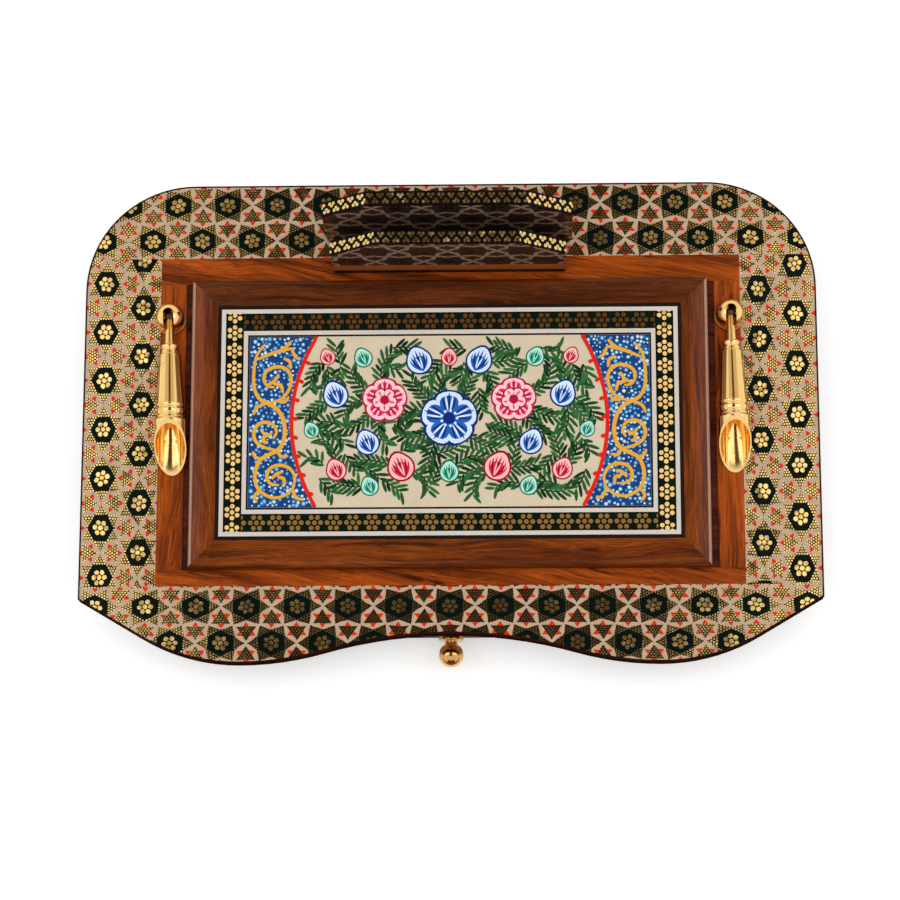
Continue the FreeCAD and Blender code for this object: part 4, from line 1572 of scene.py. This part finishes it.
# Widths and points of the scroll's strokes, inward and forward from the blue ground's outer rear corner
SCROLL = (
    (1.7, ((5.8, 2.7), (2.4, 7.3), (1.2, 14.3), (1.4, 21.2), (3.5, 25.9), (6.9, 28.0), (11.0, 30.5),
           (13.6, 34.7), (14.5, 39.8), (13.8, 44.8), (11.6, 48.2), (7.7, 50.2), (4.6, 52.1), (2.7, 56.0),
           (2.3, 60.6), (4.2, 65.2), (9.3, 68.3), (14.7, 67.5), (18.2, 64.5))),
    (1.5, ((6.9, 28.0), (12.2, 26.6), (15.8, 22.8), (16.9, 17.4), (14.8, 13.5), (10.8, 12.4), (6.9, 13.9),
           (5.4, 17.4), (6.9, 20.6), (10.0, 21.2))),
    (1.5, ((11.6, 48.2), (7.0, 47.3), (2.9, 45.0), (1.5, 41.3), (2.9, 37.6), (6.2, 36.2), (9.6, 37.4),
           (11.0, 40.5), (9.6, 43.4))),
    (1.5, ((18.2, 64.5), (18.9, 59.8), (16.7, 56.0), (12.7, 54.6), (8.8, 55.8), (7.2, 59.1), (8.7, 62.3),
           (12.4, 63.1))),
    (1.4, ((6.9, 20.2), (10.0, 18.4), (11.6, 15.6))),
    (1.5, ((9.4, 19.6), (12.6, 20.6), (13.4, 23.6))),
    (1.4, ((4.6, 39.6), (7.0, 42.0), (9.2, 40.6))),
    (1.5, ((6.4, 41.0), (5.6, 44.2), (7.6, 45.0))),
    (1.4, ((9.2, 60.4), (11.2, 58.4), (13.8, 57.4))),
    (1.5, ((11.6, 59.6), (14.2, 60.4), (14.6, 63.4))),
    (1.5, ((3.0, 9.0), (10.4, 6.0), (17.4, 4.4))),
    (1.4, ((11.6, 5.6), (14.6, 3.8), (16.6, 1.4))),
    (1.4, ((17.0, 4.4), (18.4, 7.8), (20.4, 9.2))),
    (1.4, ((13.6, 8.8), (16.2, 10.2), (16.6, 13.4))),
    (1.4, ((6.9, 28.0), (2.8, 29.8), (1.2, 33.0))),
    (1.3, ((10.6, 27.2), (14.4, 27.4), (16.0, 25.2))),
    (1.4, ((11.6, 48.2), (13.0, 50.8), (16.0, 50.6))),
    (1.3, ((4.8, 51.8), (2.2, 51.0), (1.2, 48.6))),
    (1.4, ((4.2, 65.2), (2.2, 67.8), (3.2, 70.4))),
    (1.4, ((18.0, 64.6), (19.4, 68.2), (22.4, 69.4))),
)


@dataclass
class PaintedPanel:
    """Flower painting between two blue side grounds with scrolls, in thin raised paint."""

    middle: Point = (0.0, -2.3)
    half_width: float = 83.2
    half_height: float = 36.0
    edge_width: float = 83.8
    edge_height: float = 36.55
    arc_end: float = 56.0
    arc_middle: float = 66.0
    top: float = 50.0
    ground_level: float = 0.03
    leaf_level: float = 0.04
    stem_level: float = 0.07
    scroll_level: float = 0.13
    bloom_level: float = 0.14
    bloom_lift: float = 0.02
    thorn_level: float = 0.15
    line_level: float = 0.16
    line_width: float = 1.6
    line_room: float = 0.6
    thorn_size: Point = (2.9, 1.9)
    ground_blue: Colour = srgb(22, 62, 118)
    dot_colours: tuple[Colour, Colour] = (srgb(206, 228, 232), srgb(120, 178, 210))
    smear_colours: tuple[Colour, Colour] = (srgb(18, 52, 112), srgb(52, 120, 180))
    dot_sizes: dict[str, float] = field(default_factory=lambda: {
        "Spacing": 1.35 * MM, "Least": 0.24, "Most": 0.78, "Thickness": 1.1})
    smear_sizes: dict[str, float] = field(default_factory=lambda: {
        "Spacing": 1.7 * MM, "Least": 0.6, "Most": 1.25, "Thickness": 0.5})
    leaf_sizes: dict[str, float] = field(default_factory=lambda: {
        "Step": 1.06 * MM, "Length": 2.8, "Width": 0.72, "Lean": 0.72, "Thickness": 1.0})
    stem_width: float = 0.7
    ochre: Colour = srgb(226, 164, 48)
    red_line: Colour = srgb(216, 36, 22)
    leaf_dark: Colour = srgb(6, 40, 22)
    leaf_light: Colour = srgb(52, 108, 56)
    stem: Colour = srgb(12, 48, 28)
    seed: int = 11
    rib_tries: int = 14
    rib_reach: Point = (8.0, 12.5)
    rib_bend: float = 0.45
    rib_gap: float = 3.2
    leaf_room: float = 4.0
    sprig_tries: int = 2400
    sprig_reach: Point = (6.5, 10.5)
    sprig_bend: float = 0.5
    blooms: tuple[Bloom, ...] = (
        Bloom(Palette.BLUE, 0, 1, 12.2, BloomKind.STAR),
        Bloom(Palette.PINK, 27, 9, 9.6, BloomKind.ROSE),
        Bloom(Palette.RED, 20, -20, 6.4),
        Bloom(Palette.RED, 47, -21, 4.8),
        Bloom(Palette.BLUE, 12.5, 25.5, 6.2),
        Bloom(Palette.BLUE, 47.5, 11, 6.0),
        Bloom(Palette.BLUE, 34, -9.5, 5.6),
        Bloom(Palette.TEAL, 0, -22, 4.6),
        Bloom(Palette.TEAL, 36, 27, 4.3),
        Bloom(Palette.TEAL, 33, -28, 4.2),
        Bloom(Palette.TEAL, 57.5, -4, 3.6),
        Bloom(Palette.RED, 51, 27.5, 3.6),
        Bloom(Palette.RED, 0, 27, 3.8))

    def arc_x(self, y: float) -> float:
        """How far from the middle the red line runs at a height.

        Args:
            y: Height from the panel's middle.

        Returns:
            Distance from the panel's middle line.
        """
        share = y / self.half_height
        return self.arc_end + (self.arc_middle - self.arc_end) * (1 - share * share)

    def arc(self, sign: int, steps: int = 36) -> Path:
        """The red line's path on one side.

        Args:
            sign: -1 for the left and 1 for the right.
            steps: Runs in the path.

        Returns:
            Its points from front to back.
        """
        heights = [self.half_height * (2 * i / steps - 1) for i in range(steps + 1)]
        return [(sign * self.arc_x(y), y) for y in heights]

    def mirrored(self) -> list[Bloom]:
        """Every bloom on both sides.

        Returns:
            The blooms, those on the middle line once.
        """
        both = []
        for bloom in self.blooms:
            both.append(bloom)
            if bloom.x:
                both.append(replace(bloom, x=-bloom.x))
        return both

    def build(self) -> None:
        """Paint the sides, the sprays and the blooms."""
        self.paint_sides()
        self.paint_sprays()
        marks = PaintMesh(self.middle)
        for bloom in self.mirrored():
            self.paint_bloom(marks, bloom)
        self.add_paint("painted_blooms", marks.mesh("painted_blooms"))

    @staticmethod
    def add_paint(name: str, mesh: Mesh) -> None:
        """Put painted marks on the panel."""
        add_piece(name, mesh, PAINT, "case")

    def paint_sides(self) -> None:
        """Blue grounds, smears and dots on them, ochre scrolls, and red lines with thorns."""
        grounds, dotted, lines = (PaintMesh(self.middle) for _ in range(3))
        ground_height = self.top + self.ground_level
        for sign in (-1, 1):
            arc = self.arc(sign)
            side, edge = sign * self.half_width, sign * self.edge_width
            inner_edge = [(side, self.half_height), (side, -self.half_height)]
            dotted.slip(arc + inner_edge, self.ground_blue, ground_height)
            whole_arc = [(arc[0][0], -self.edge_height), *arc, (arc[-1][0], self.edge_height)]
            outer_edge = [(edge, self.edge_height), (edge, -self.edge_height)]
            grounds.slip(whole_arc + outer_edge, self.ground_blue, ground_height)
            lines.stroke(whole_arc, self.line_width, self.red_line, self.top + self.line_level, 1.0)
            inward = TURN / 2 * (sign > 0) + 0.5 * sign
            for x, y in arc[3:-2:4]:
                thorn = petal(x, y, *self.thorn_size, inward, 12)
                lines.slip(thorn, self.red_line, self.top + self.thorn_level)
            self.paint_scrolls(lines, sign)
        ground = dotted.mesh("dotted_grounds")
        scatter = build_dots()
        pieces = {
            "painted_grounds": grounds.mesh("painted_grounds"),
            "painted_smears": self.scatter(scatter, ground.copy(), self.smear_sizes, self.smear_colours),
            "painted_dots": self.scatter(scatter, ground, self.dot_sizes, self.dot_colours),
            "painted_scrolls": lines.mesh("painted_scrolls"),
        }
        for name, mesh in pieces.items():
            self.add_paint(name, mesh)

    def paint_scrolls(self, marks: PaintMesh, sign: int) -> None:
        """A vine that winds from the back to the front, with three curls and small twigs.

        Args:
            marks: Where the strokes go.
            sign: -1 for the left and 1 for the right.
        """
        for width, points in SCROLL:
            placed = [(sign * (self.half_width - inward), self.half_height - forward)
                      for inward, forward in points]
            marks.stroke(flowing(placed), width, self.ochre, self.top + self.scroll_level, 0.55)

    def scatter(self, group: ShapeGroup, ground: Mesh, sizes: dict[str, float],
                colours: tuple[Colour, Colour]) -> Mesh:
        """Round marks over the blue grounds.

        Args:
            group: The tree that scatters them.
            ground: A copy of the grounds' mesh.
            sizes: The tree's Spacing, Least, Most and Thickness.
            colours: The colours that the marks vary between.

        Returns:
            The marks' mesh.
        """
        shape = bmesh.new()
        shape.from_mesh(ground)
        shape.normal_update()
        bmesh.ops.delete(shape, geom=[face for face in shape.faces if face.normal.z < 0.5], context="FACES")
        shape.to_mesh(ground)
        shape.free()
        return group.shape(add_object("dot_ground", ground), {
            **sizes, "Seed": self.seed, "First": colours[0], "Second": colours[1],
            "Finish": PAINT.material()})

    def ribs(self) -> list[Path]:
        """Ribs of the leaf sprays, round every bloom and inside the red lines.

        Returns:
            The ribs' paths.
        """
        chance = random.Random(self.seed)
        blooms = self.mirrored()
        ribs = []
        for bloom in blooms:
            offset = chance.uniform(0, TURN)
            for i in range(self.rib_tries):
                turn = offset + TURN * i / self.rib_tries
                reach = bloom.radius + chance.uniform(*self.rib_reach)
                bend = chance.uniform(-self.rib_bend, self.rib_bend)
                path = ray(bloom.x, bloom.y, bloom.radius * 0.7, reach, turn, bend)
                if self.is_clear(path, bloom, blooms, ribs):
                    ribs.append(path)
        for _ in range(self.sprig_tries):
            x = chance.uniform(0, self.arc_middle)
            y = chance.uniform(-self.half_height, self.half_height)
            turn = chance.uniform(0, TURN)
            reach = chance.uniform(*self.sprig_reach)
            bend = chance.uniform(-self.sprig_bend, self.sprig_bend)
            path = ray(x, y, 0.0, reach, turn, bend)
            for sprig in (path, [(-px, py) for px, py in path]):
                if self.is_clear(sprig, None, blooms, ribs):
                    ribs.append(sprig)
        return ribs

    def is_clear(self, path: Path, own: Bloom | None, blooms: list[Bloom],
                 ribs: list[Path]) -> bool:
        """Whether a rib stays on the field and clear of the other blooms and ribs.

        Args:
            path: The rib.
            own: The bloom that it grows from, if it grows from one.
            blooms: Every bloom.
            ribs: The ribs so far.

        Returns:
            True if it has room.
        """
        for x, y in path:
            room = self.arc_x(y) - self.leaf_room - self.line_room
            if abs(y) > self.half_height - self.leaf_room or abs(x) > room:
                return False
            if any(math.dist((x, y), (b.x, b.y)) < b.radius for b in blooms if b is not own):
                return False
        outer = path[len(path) // 3:]
        return all(math.dist(a, b) > self.rib_gap for a in outer for rib in ribs for b in rib[2:])

    def paint_sprays(self) -> None:
        """Stems as brush strokes, and leaflets along them."""
        ribs = self.ribs()
        stems = PaintMesh(self.middle)
        curves = bpy.data.curves.new("spray_ribs", "CURVE")
        curves.dimensions = "3D"
        middle_x, middle_y = self.middle
        leaf_height = self.top + self.leaf_level
        for rib in ribs:
            stems.stroke(rib, self.stem_width, self.stem, self.top + self.stem_level, 0.4)
            spline = curves.splines.new("NURBS")
            spline.points.add(len(rib) - 1)
            for point, (x, y) in zip(spline.points, rib):
                point.co = ((x + middle_x) * MM, (y + middle_y) * MM, leaf_height * MM, 1.0)
            spline.order_u = 3
            spline.use_endpoint_u = True
        self.add_paint("painted_stems", stems.mesh("painted_stems"))
        leaves = build_sprays().shape(add_object("spray_ribs", curves), {
            **self.leaf_sizes, "Seed": self.seed, "First": self.leaf_dark, "Second": self.leaf_light,
            "Finish": PAINT.material()})
        self.add_paint("painted_leaves", leaves)

    def bloom_levels(self, count: int) -> list[float]:
        """Heights of a bloom's layers, each a little above the one before."""
        return [self.top + self.bloom_level + i * self.bloom_lift for i in range(count)]

    def paint_bloom(self, marks: PaintMesh, bloom: Bloom) -> None:
        """Paint one bloom.

        Args:
            marks: Where its marks go.
            bloom: The bloom.
        """
        if bloom.kind is BloomKind.BUD:
            self.paint_bud(marks, bloom)
            return
        outline, body, light = bloom.palette.value
        x, y, radius = bloom.x, bloom.y, bloom.radius
        petals = 5
        anthers = 9
        levels = self.bloom_levels(9)
        start = TURN / 4
        for i in range(petals):
            turn = start + TURN * i / petals
            width = radius * 1.22
            marks.slip(petal(x, y, radius, width, turn), outline, levels[0])
            marks.slip(petal(x, y, radius * 0.94, width * 0.84, turn), light, levels[1])
            marks.slip(petal(x, y, radius * 0.8, width * 0.6, turn), body, levels[2])
            for k in (-2, -1, 0, 1, 2):
                tip = 0.9 - 0.06 * abs(k)
                marks.stroke(ray(x, y, radius * 0.25, radius * tip, turn + 0.16 * k), radius * 0.07,
                             light if k % 2 else outline, levels[3])
        if bloom.kind is BloomKind.ROSE:
            for i in range(petals):
                turn = start + TURN * (i + 0.5) / petals
                marks.slip(petal(x, y, radius * 0.58, radius * 0.62, turn), outline, levels[4])
                marks.slip(petal(x, y, radius * 0.52, radius * 0.48, turn), light, levels[5])
                marks.stroke(ray(x, y, radius * 0.1, radius * 0.46, turn), radius * 0.1, body, levels[6])
        marks.slip(egg(x, y, radius * 0.2, 0.0, 0.0), outline, levels[7])
        for i in range(anthers):
            place = polar(x, y, radius * 0.27, TURN * i / anthers)
            marks.slip(egg(*place, radius * 0.05, 0.0, 0.0, 9), light, levels[8])

    def paint_bud(self, marks: PaintMesh, bloom: Bloom) -> None:
        """Paint a round bud with flame streaks from its foot.

        Args:
            marks: Where its marks go.
            bloom: The bud.
        """
        outline, body, light = bloom.palette.value
        x, y, radius = bloom.x, bloom.y, bloom.radius
        levels = self.bloom_levels(5)
        up = TURN / 4 - 0.4 * math.copysign(1.0, x) * (1 if x else 0)
        marks.slip(egg(x, y, radius * 0.92, 0.28, up), outline, levels[0])
        marks.slip(egg(x, y, radius * 0.8, 0.28, up), light, levels[1])
        foot = polar(x, y, -radius * 0.72, up)
        marks.slip(petal(*foot, radius * 1.1, radius * 1.0, up), body, levels[2])
        for k in (-3, -2, -1, 0, 1, 2, 3):
            reach = radius * (1.5 - 0.11 * abs(k))
            path = ray(*foot, 0.0, reach, up + 0.27 * k, -0.1 * k)
            marks.stroke(path, radius * 0.14, outline if k % 2 == 0 else body, levels[3])
        for k in (-1, 1):
            path = ray(*foot, radius * 0.15, radius * 1.05, up + 0.14 * k)
            marks.stroke(path, radius * 0.1, light, levels[4])


@dataclass
class CardHolder:
    """Two upright plates on the back of the top."""

    def dress(self) -> None:
        """Star mosaic faces darkened as painted shade, brass edgings and a plain foot."""
        for side in ("front", "rear"):
            dress(f"card_{side}_plate", SHADED_STAR_CARD[side])
            dress(f"card_{side}_edging", TREFOILS[side])
        dress("card_base", BLACK_LINE)


@dataclass
class Case:
    """Base board and walls below the top."""

    edge: float = 0.4

    def build(self) -> None:
        """Wear the base board's edges."""
        soften("base_board", DARK_WOOD[Axis.X], "case", self.edge)

    def dress(self) -> None:
        """Finish the walls and their mosaic sheets."""
        for side in ("left", "right"):
            dress(f"{side}_wall", DARK_WOOD[Axis.Y])
            dress(f"{side}_wall_khatam", STAR_SIDE)
        dress("back_wall", DARK_WOOD[Axis.X])
        dress("back_wall_khatam", STAR_FACE)


@dataclass
class Drawer:
    """The drawer with its mosaic front, knob and velvet lining."""

    edge: float = 0.35
    knob_z: float = 20.8
    knob_y: float = -86.5
    flange_radius: float = 5.35
    flange_length: float = 4.3
    neck_radius: float = 2.7
    ball_radius: float = 5.25
    ball_along: float = 10.25
    knob_round: float = 0.3
    knob_crease: float = 50.0
    lining_margin: float = 0.4
    lining_step: float = 3.0
    lining_wave: float = 0.12
    lining_drop: float = 0.2
    lining_thickness: float = 0.45
    segments: int = 72

    def build(self) -> None:
        """Make the boards, the knob and the lining."""
        for side in ("left_side", "right_side"):
            soften(f"drawer_{side}", DRAWER_WOOD[Axis.Y], "drawer", self.edge)
        for board in ("front", "back", "bottom"):
            soften(f"drawer_{board}", DRAWER_WOOD[Axis.X], "drawer", self.edge)
        self.build_knob()
        self.build_lining()

    def build_knob(self) -> None:
        """Turned knob: a stepped flange, a neck and a ball."""
        outline = [(0.0, 0.0), (self.flange_radius, 0.0), (self.flange_radius, self.flange_length),
                   (self.neck_radius, self.flange_length), (self.neck_radius, self.flange_length + 1.0)]
        profile = rounded(outline, self.knob_round)[:-1]
        start = math.acos(self.neck_radius / self.ball_radius)
        steps = 22
        for i in range(steps + 1):
            angle = -start + (start + TURN / 4) * i / steps
            radius = self.ball_radius * math.cos(angle) if i < steps else 0.0
            profile.append((radius, self.ball_along + self.ball_radius * math.sin(angle)))
        shape = lathe(profile, self.segments)
        bmesh.ops.translate(shape, verts=shape.verts, vec=Vector((0, self.knob_y, self.knob_z)) * MM)
        add_piece("turned_knob", smooth_mesh(shape, "turned_knob", self.knob_crease), KNOB_BRASS, "drawer",
                  ("drawer_knob",))

    def build_lining(self) -> None:
        """Velvet laid on the bottom: a thin sheet with a slightly uneven nap."""
        low, high = (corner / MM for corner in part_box("drawer_lining"))
        margin = self.lining_margin
        width = high.x - low.x - 2 * margin
        length = high.y - low.y - 2 * margin
        columns = round(width / self.lining_step)
        rows = round(length / self.lining_step)
        shape = bmesh.new()
        bmesh.ops.create_grid(shape, x_segments=columns, y_segments=rows, size=0.5)
        for vert in shape.verts:
            x = low.x + margin + (vert.co.x + 0.5) * width
            y = low.y + margin + (vert.co.y + 0.5) * length
            wave = math.sin(x * 0.21 + 1.3 * math.sin(y * 0.13)) * math.sin(y * 0.17 + 0.8)
            vert.co = Vector((x, y, high.z - self.lining_drop + self.lining_wave * wave)) * MM
        rim = [edge.is_boundary for edge in shape.edges]
        sheet = smooth_mesh(shape, "velvet_lining")
        for edge, is_rim in zip(sheet.edges, rim):
            edge.use_edge_sharp = is_rim
        lining = add_piece("velvet_lining", sheet, VELVET, "drawer", ("drawer_lining",))
        thickness = lining.modifiers.new("pile", "SOLIDIFY")
        thickness.thickness = self.lining_thickness * MM
        thickness.offset = -1.0

    def dress(self) -> None:
        """Finish the mosaic front and the screw."""
        dress("drawer_front_khatam", STAR_FACE)
        dress("knob_screw", STEEL)


@dataclass
class PenHolder:
    """A brass funnel that tilts on a slotted head, which turns on a round base."""

    side: str
    sign: int
    turn: float
    pivot_x: float = 118.0
    pivot_y: float = 43.3
    pivot_z: float = 50.0
    cut_top: Point = (44.8, 6.7)
    cut_bottom: Point = (67.0, -6.7)
    eye_radius: float = 2.15
    slot_half: float = 2.2
    slot_floor: float = -2.8
    slot_back: float = 0.5
    cutter_reach: float = 9.0
    dome_round: float = 0.5
    funnel_round: float = 0.35
    base_edge: float = 0.3
    crease: float = 40.0
    segments: int = 96
    outside: tuple[Point, ...] = (
        (0.0, 1.0), (1.55, 1.0), (2.1, 12.0), (3.75, 12.5), (3.75, 13.5), (3.3, 14.2), (3.75, 14.9),
        (3.75, 16.5), (4.45, 16.6), (5.75, 38.0), (5.95, 38.1), (5.95, 38.8), (5.45, 39.5), (5.95, 40.2),
        (5.95, 41.8), (5.45, 42.5), (5.95, 43.2), (5.95, 44.0), (6.7, 44.8), (6.7, 68.0))
    inside: tuple[Point, ...] = ((6.1, 68.0), (6.1, 52.0), (3.6, 35.0), (3.6, 20.0), (0.0, 17.8))
    dome: tuple[Point, ...] = (
        (0.0, -5.7), (6.0, -5.7), (6.0, -0.6), (5.75, 1.4), (5.1, 3.2), (4.0, 4.6), (2.5, 5.5),
        (1.0, 5.85), (0.0, 5.9))

    def stand(self) -> Matrix:
        """From the holder's own frame, with the funnel along -Y, to its place on the box."""
        place = Matrix.Translation(Vector((self.sign * self.pivot_x, self.pivot_y, self.pivot_z)) * MM)
        return place @ Matrix.Rotation(math.radians(self.turn), 4, "Z")

    def slot_cutter(self) -> BMesh:
        """The slot's shape: round at the back, and open to the front and the top.

        Returns:
            A closed block to cut from the head, in the holder's own frame.
        """
        steps = 16
        half, reach = self.slot_half, self.cutter_reach
        outline = [(-half, -reach), (half, -reach)]
        for i in range(steps + 1):
            angle = TURN / 2 * i / steps
            outline.append((half * math.cos(angle), self.slot_back + half * math.sin(angle)))
        cutter = bmesh.new()
        corners = [cutter.verts.new((x * MM, y * MM, self.slot_floor * MM)) for x, y in outline]
        raised = bmesh.ops.extrude_face_region(cutter, geom=[cutter.faces.new(corners)])
        lifted = [item for item in raised["geom"] if isinstance(item, bmesh.types.BMVert)]
        bmesh.ops.translate(cutter, verts=lifted, vec=(0, 0, 2 * reach * MM))
        bmesh.ops.recalc_face_normals(cutter, faces=cutter.faces)
        return cutter

    def build_head(self) -> None:
        """Turn a domed head and cut its slot."""
        name = f"{self.side}_domed_head"
        shape = lathe(rounded(list(self.dome), self.dome_round), self.segments)
        shape.transform(Matrix.Rotation(-TURN / 4, 4, "X"))
        parts = []
        for part in (shape, self.slot_cutter()):
            part.transform(self.stand())
            mesh = bpy.data.meshes.new(name)
            part.to_mesh(mesh)
            part.free()
            parts.append(add_object(name, mesh))
        cut = parts[0].modifiers.new("slot", "BOOLEAN")
        cut.object = parts[1]
        cut.solver = "EXACT"
        graph = bpy.context.evaluated_depsgraph_get()
        whole = bmesh.new()
        whole.from_object(parts[0], graph)
        for part in parts:
            bpy.data.objects.remove(part)
        bmesh.ops.remove_doubles(whole, verts=whole.verts, dist=2 * WELD * MM)
        add_piece(name, smooth_mesh(whole, name, self.crease), BRASS, f"{self.side}_head",
                  (f"{self.side}_swivel_head",))

    def build(self) -> None:
        """Make the funnel, and smooth the head and the base."""
        self.build_funnel()
        self.build_head()
        # The base's brass is darker, as painted shade under the head
        soften(f"{self.side}_pen_base", SHADED_BASE_BRASS, "case", self.base_edge)

    def build_funnel(self) -> None:
        """Turn the funnel, cut its mouth at a slant and close the rim."""
        profile = rounded([*self.outside, *self.inside], self.funnel_round)
        shape = lathe(profile, self.segments)
        top, bottom = Vector(self.cut_top), Vector(self.cut_bottom)
        slope = (bottom - top).normalized()
        normal = Vector((0, slope.y, slope.x))
        place = Vector((0, -top.x, top.y)) * MM
        cut = bmesh.ops.bisect_plane(shape, geom=shape.verts[:] + shape.edges[:] + shape.faces[:],
                                     plane_co=place, plane_no=normal, clear_outer=True)
        rim = [item for item in cut["geom_cut"] if isinstance(item, bmesh.types.BMEdge)]
        bmesh.ops.bridge_loops(shape, edges=rim)
        shape.transform(self.stand())
        name = f"{self.side}_funnel_turned"
        add_piece(name, smooth_mesh(shape, name, self.crease), BRASS, f"{self.side}_funnel",
                  (f"{self.side}_pen_funnel",))
        eye = bmesh.new()
        bmesh.ops.create_uvsphere(eye, u_segments=36, v_segments=20, radius=self.eye_radius * MM)
        eye.transform(self.stand())
        name = f"{self.side}_funnel_eye"
        # The eye's steel is dark, as painted shade in the slot
        add_piece(name, smooth_mesh(eye, name), SHADED_EYE_STEEL, f"{self.side}_funnel")

    def dress(self) -> None:
        """Finish the pin and the screw."""
        for part in ("tilt_pin", "pivot_screw"):
            dress(f"{self.side}_{part}", STEEL)


@dataclass(frozen=True)
class Softbox:
    """A rectangular light that faces straight down, in metres and watts."""

    name: str
    place: Triple
    size: Point
    power: float
    in_mirrors: bool = True


@dataclass(frozen=True)
class Card:
    """A square card that only shows in mirrors, in metres; it lies flat, or stands along X."""

    name: str
    half: float
    place: Triple
    glow: Colour
    upright: bool = False


@dataclass
class Studio:
    """Camera, two softboxes with a dark gap between them, fill light, cards, floor and background."""

    camera_place: Triple = (34.64, -262.81, 1206.58)
    azimuth: float = -7.875
    elevation: float = 77.787
    roll: float = -8.05
    focal_pixels: float = 2841.5
    image_pixels: float = 900.0
    sensor: float = 36.0
    softboxes: tuple[Softbox, ...] = (
        Softbox("left_softbox", (-0.78, 0.035, 1.14), (1.0, 0.7), 3.4),
        Softbox("right_softbox", (0.71, 0.035, 1.14), (1.0, 0.7), 3.4),
        Softbox("fill", (0.0, -0.2, 1.5), (1.4, 1.4), 13.0, in_mirrors=False))
    cards: tuple[Card, ...] = (
        Card("overhead_card", 1.3, (0.0, 0.75, 1.65), srgb(66, 50, 38)),
        Card("left_card", 0.6, (-0.88, 1.05, 1.6), srgb(214, 202, 184)),
        Card("right_card", 0.6, (0.83, 1.05, 1.6), srgb(214, 202, 184)),
        Card("front_card", 0.9, (0.0, -1.6, 0.1), srgb(84, 66, 50), upright=True),
        Card("table_card", 0.5, (0.0, -0.65, 0.0005), srgb(120, 94, 68)))
    card_tone: Colour = (0.02, 0.02, 0.02, 1.0)
    floor_half: float = 3.0
    floor_height: float = -0.0002
    floor_tone: Colour = (0.82, 0.82, 0.82, 1.0)
    floor_glow: float = 0.4
    white: Colour = (1.0, 1.0, 1.0, 1.0)
    world_light: float = 0.35

    def build(self) -> None:
        """Make everything round the box."""
        self.add_camera()
        for softbox in self.softboxes:
            self.add_softbox(softbox)
        self.add_floor()
        for card in self.cards:
            self.add_card(card)
        self.set_world()
        bpy.context.scene.view_settings.view_transform = "Standard"

    def add_camera(self) -> None:
        """Camera at the photograph's place and angle."""
        data = bpy.data.cameras.new("view_from_above")
        data.sensor_width = self.sensor
        data.lens = self.sensor * self.focal_pixels / self.image_pixels
        data.clip_start = 0.01
        camera = add_object("view_from_above", data)
        aim = (Matrix.Rotation(math.radians(-self.azimuth), 4, "Z")
               @ Matrix.Rotation(math.radians(90 - self.elevation), 4, "X")
               @ Matrix.Rotation(math.radians(self.roll), 4, "Z"))
        camera.matrix_world = Matrix.Translation(Vector(self.camera_place) * MM) @ aim
        bpy.context.scene.camera = camera

    @staticmethod
    def add_softbox(softbox: Softbox) -> None:
        """Add one light.

        Args:
            softbox: The light's place, size and power.
        """
        data = bpy.data.lights.new(softbox.name, "AREA")
        data.shape = "RECTANGLE"
        data.size, data.size_y = softbox.size
        data.energy = softbox.power
        light = add_object(softbox.name, data)
        light.location = softbox.place
        light.visible_glossy = softbox.in_mirrors

    @staticmethod
    def add_plane(name: str, half: float, height: float, looks: dict[str, object]) -> bpy.types.Object:
        """Large flat square that belongs to the studio.

        Args:
            name: Its name.
            half: Half its side, in metres.
            height: Its height, in metres.
            looks: Its shader's inputs by label.

        Returns:
            The square.
        """
        mesh = bpy.data.meshes.new(name)
        corners = ((-half, -half), (half, -half), (half, half), (-half, half))
        mesh.from_pydata([(x, y, height) for x, y in corners], [], [(0, 1, 2, 3)])
        plane = add_object(name, mesh)
        material = bpy.data.materials.new(f"studio_{name}")
        material.use_nodes = True
        set_inputs(material.node_tree.nodes["Principled BSDF"], looks)
        mesh.materials.append(material)
        return plane

    @staticmethod
    def background_rays(tree: Tree) -> Field:
        """1 for the rays that show the background: camera, mirror and glass rays."""
        path = tree.node("ShaderNodeLightPath")
        camera, glossy, through = (tree.field(path.outputs[f"Is {kind} Ray"])
                                   for kind in ("Camera", "Glossy", "Transmission"))
        return camera.math("MAXIMUM", glossy).math("MAXIMUM", through)

    def add_floor(self) -> None:
        """White floor that keeps the box's shadow."""
        floor = self.add_plane("floor", self.floor_half, self.floor_height, {
            "Base Color": self.floor_tone, "Roughness": 0.9, "Specular IOR Level": 0.1,
            "Emission Color": self.white})
        nodes = floor.data.materials[0].node_tree
        tree = Tree(nodes)
        glow = self.background_rays(tree) * self.floor_glow
        tree.feed(glow, nodes.nodes["Principled BSDF"].inputs["Emission Strength"])

    def add_card(self, card: Card) -> None:
        """Add one card.

        Args:
            card: The card's place, size and tone.
        """
        plane = self.add_plane(card.name, card.half, 0.0, {
            "Base Color": self.card_tone, "Roughness": 1.0, "Specular IOR Level": 0.0,
            "Emission Color": card.glow, "Emission Strength": 1.0})
        plane.location = card.place
        if card.upright:
            plane.rotation_euler.x = TURN / 4
        plane.visible_camera = False
        plane.visible_diffuse = False
        plane.visible_shadow = False

    def set_world(self) -> None:
        """White background, and a plainer level for the light that it gives."""
        world = bpy.data.worlds.new("studio")
        world.use_nodes = True
        bpy.context.scene.world = world
        tree = Tree(world.node_tree)
        background = world.node_tree.nodes["Background"]
        background.inputs["Color"].default_value = self.white
        strength = self.background_rays(tree) * (1.0 - self.world_light) + self.world_light
        tree.feed(strength, background.inputs["Strength"])


def main() -> None:
    """Build and dress the box, then set up the studio."""
    logging.basicConfig(level=logging.INFO, format="%(message)s")
    top = ShapedTop()
    panel = RaisedFrame()
    cards = CardHolder()
    case = Case()
    drawer = Drawer()
    holders = [PenHolder("left", -1, 1.4), PenHolder("right", 1, 1.0)]
    for part in (panel, PaintedPanel(), case, drawer, *holders):
        part.build()
    for part in (top, panel, cards, case, drawer, *holders):
        part.dress()
    Studio().build()


if __name__ == "__main__":
    main()
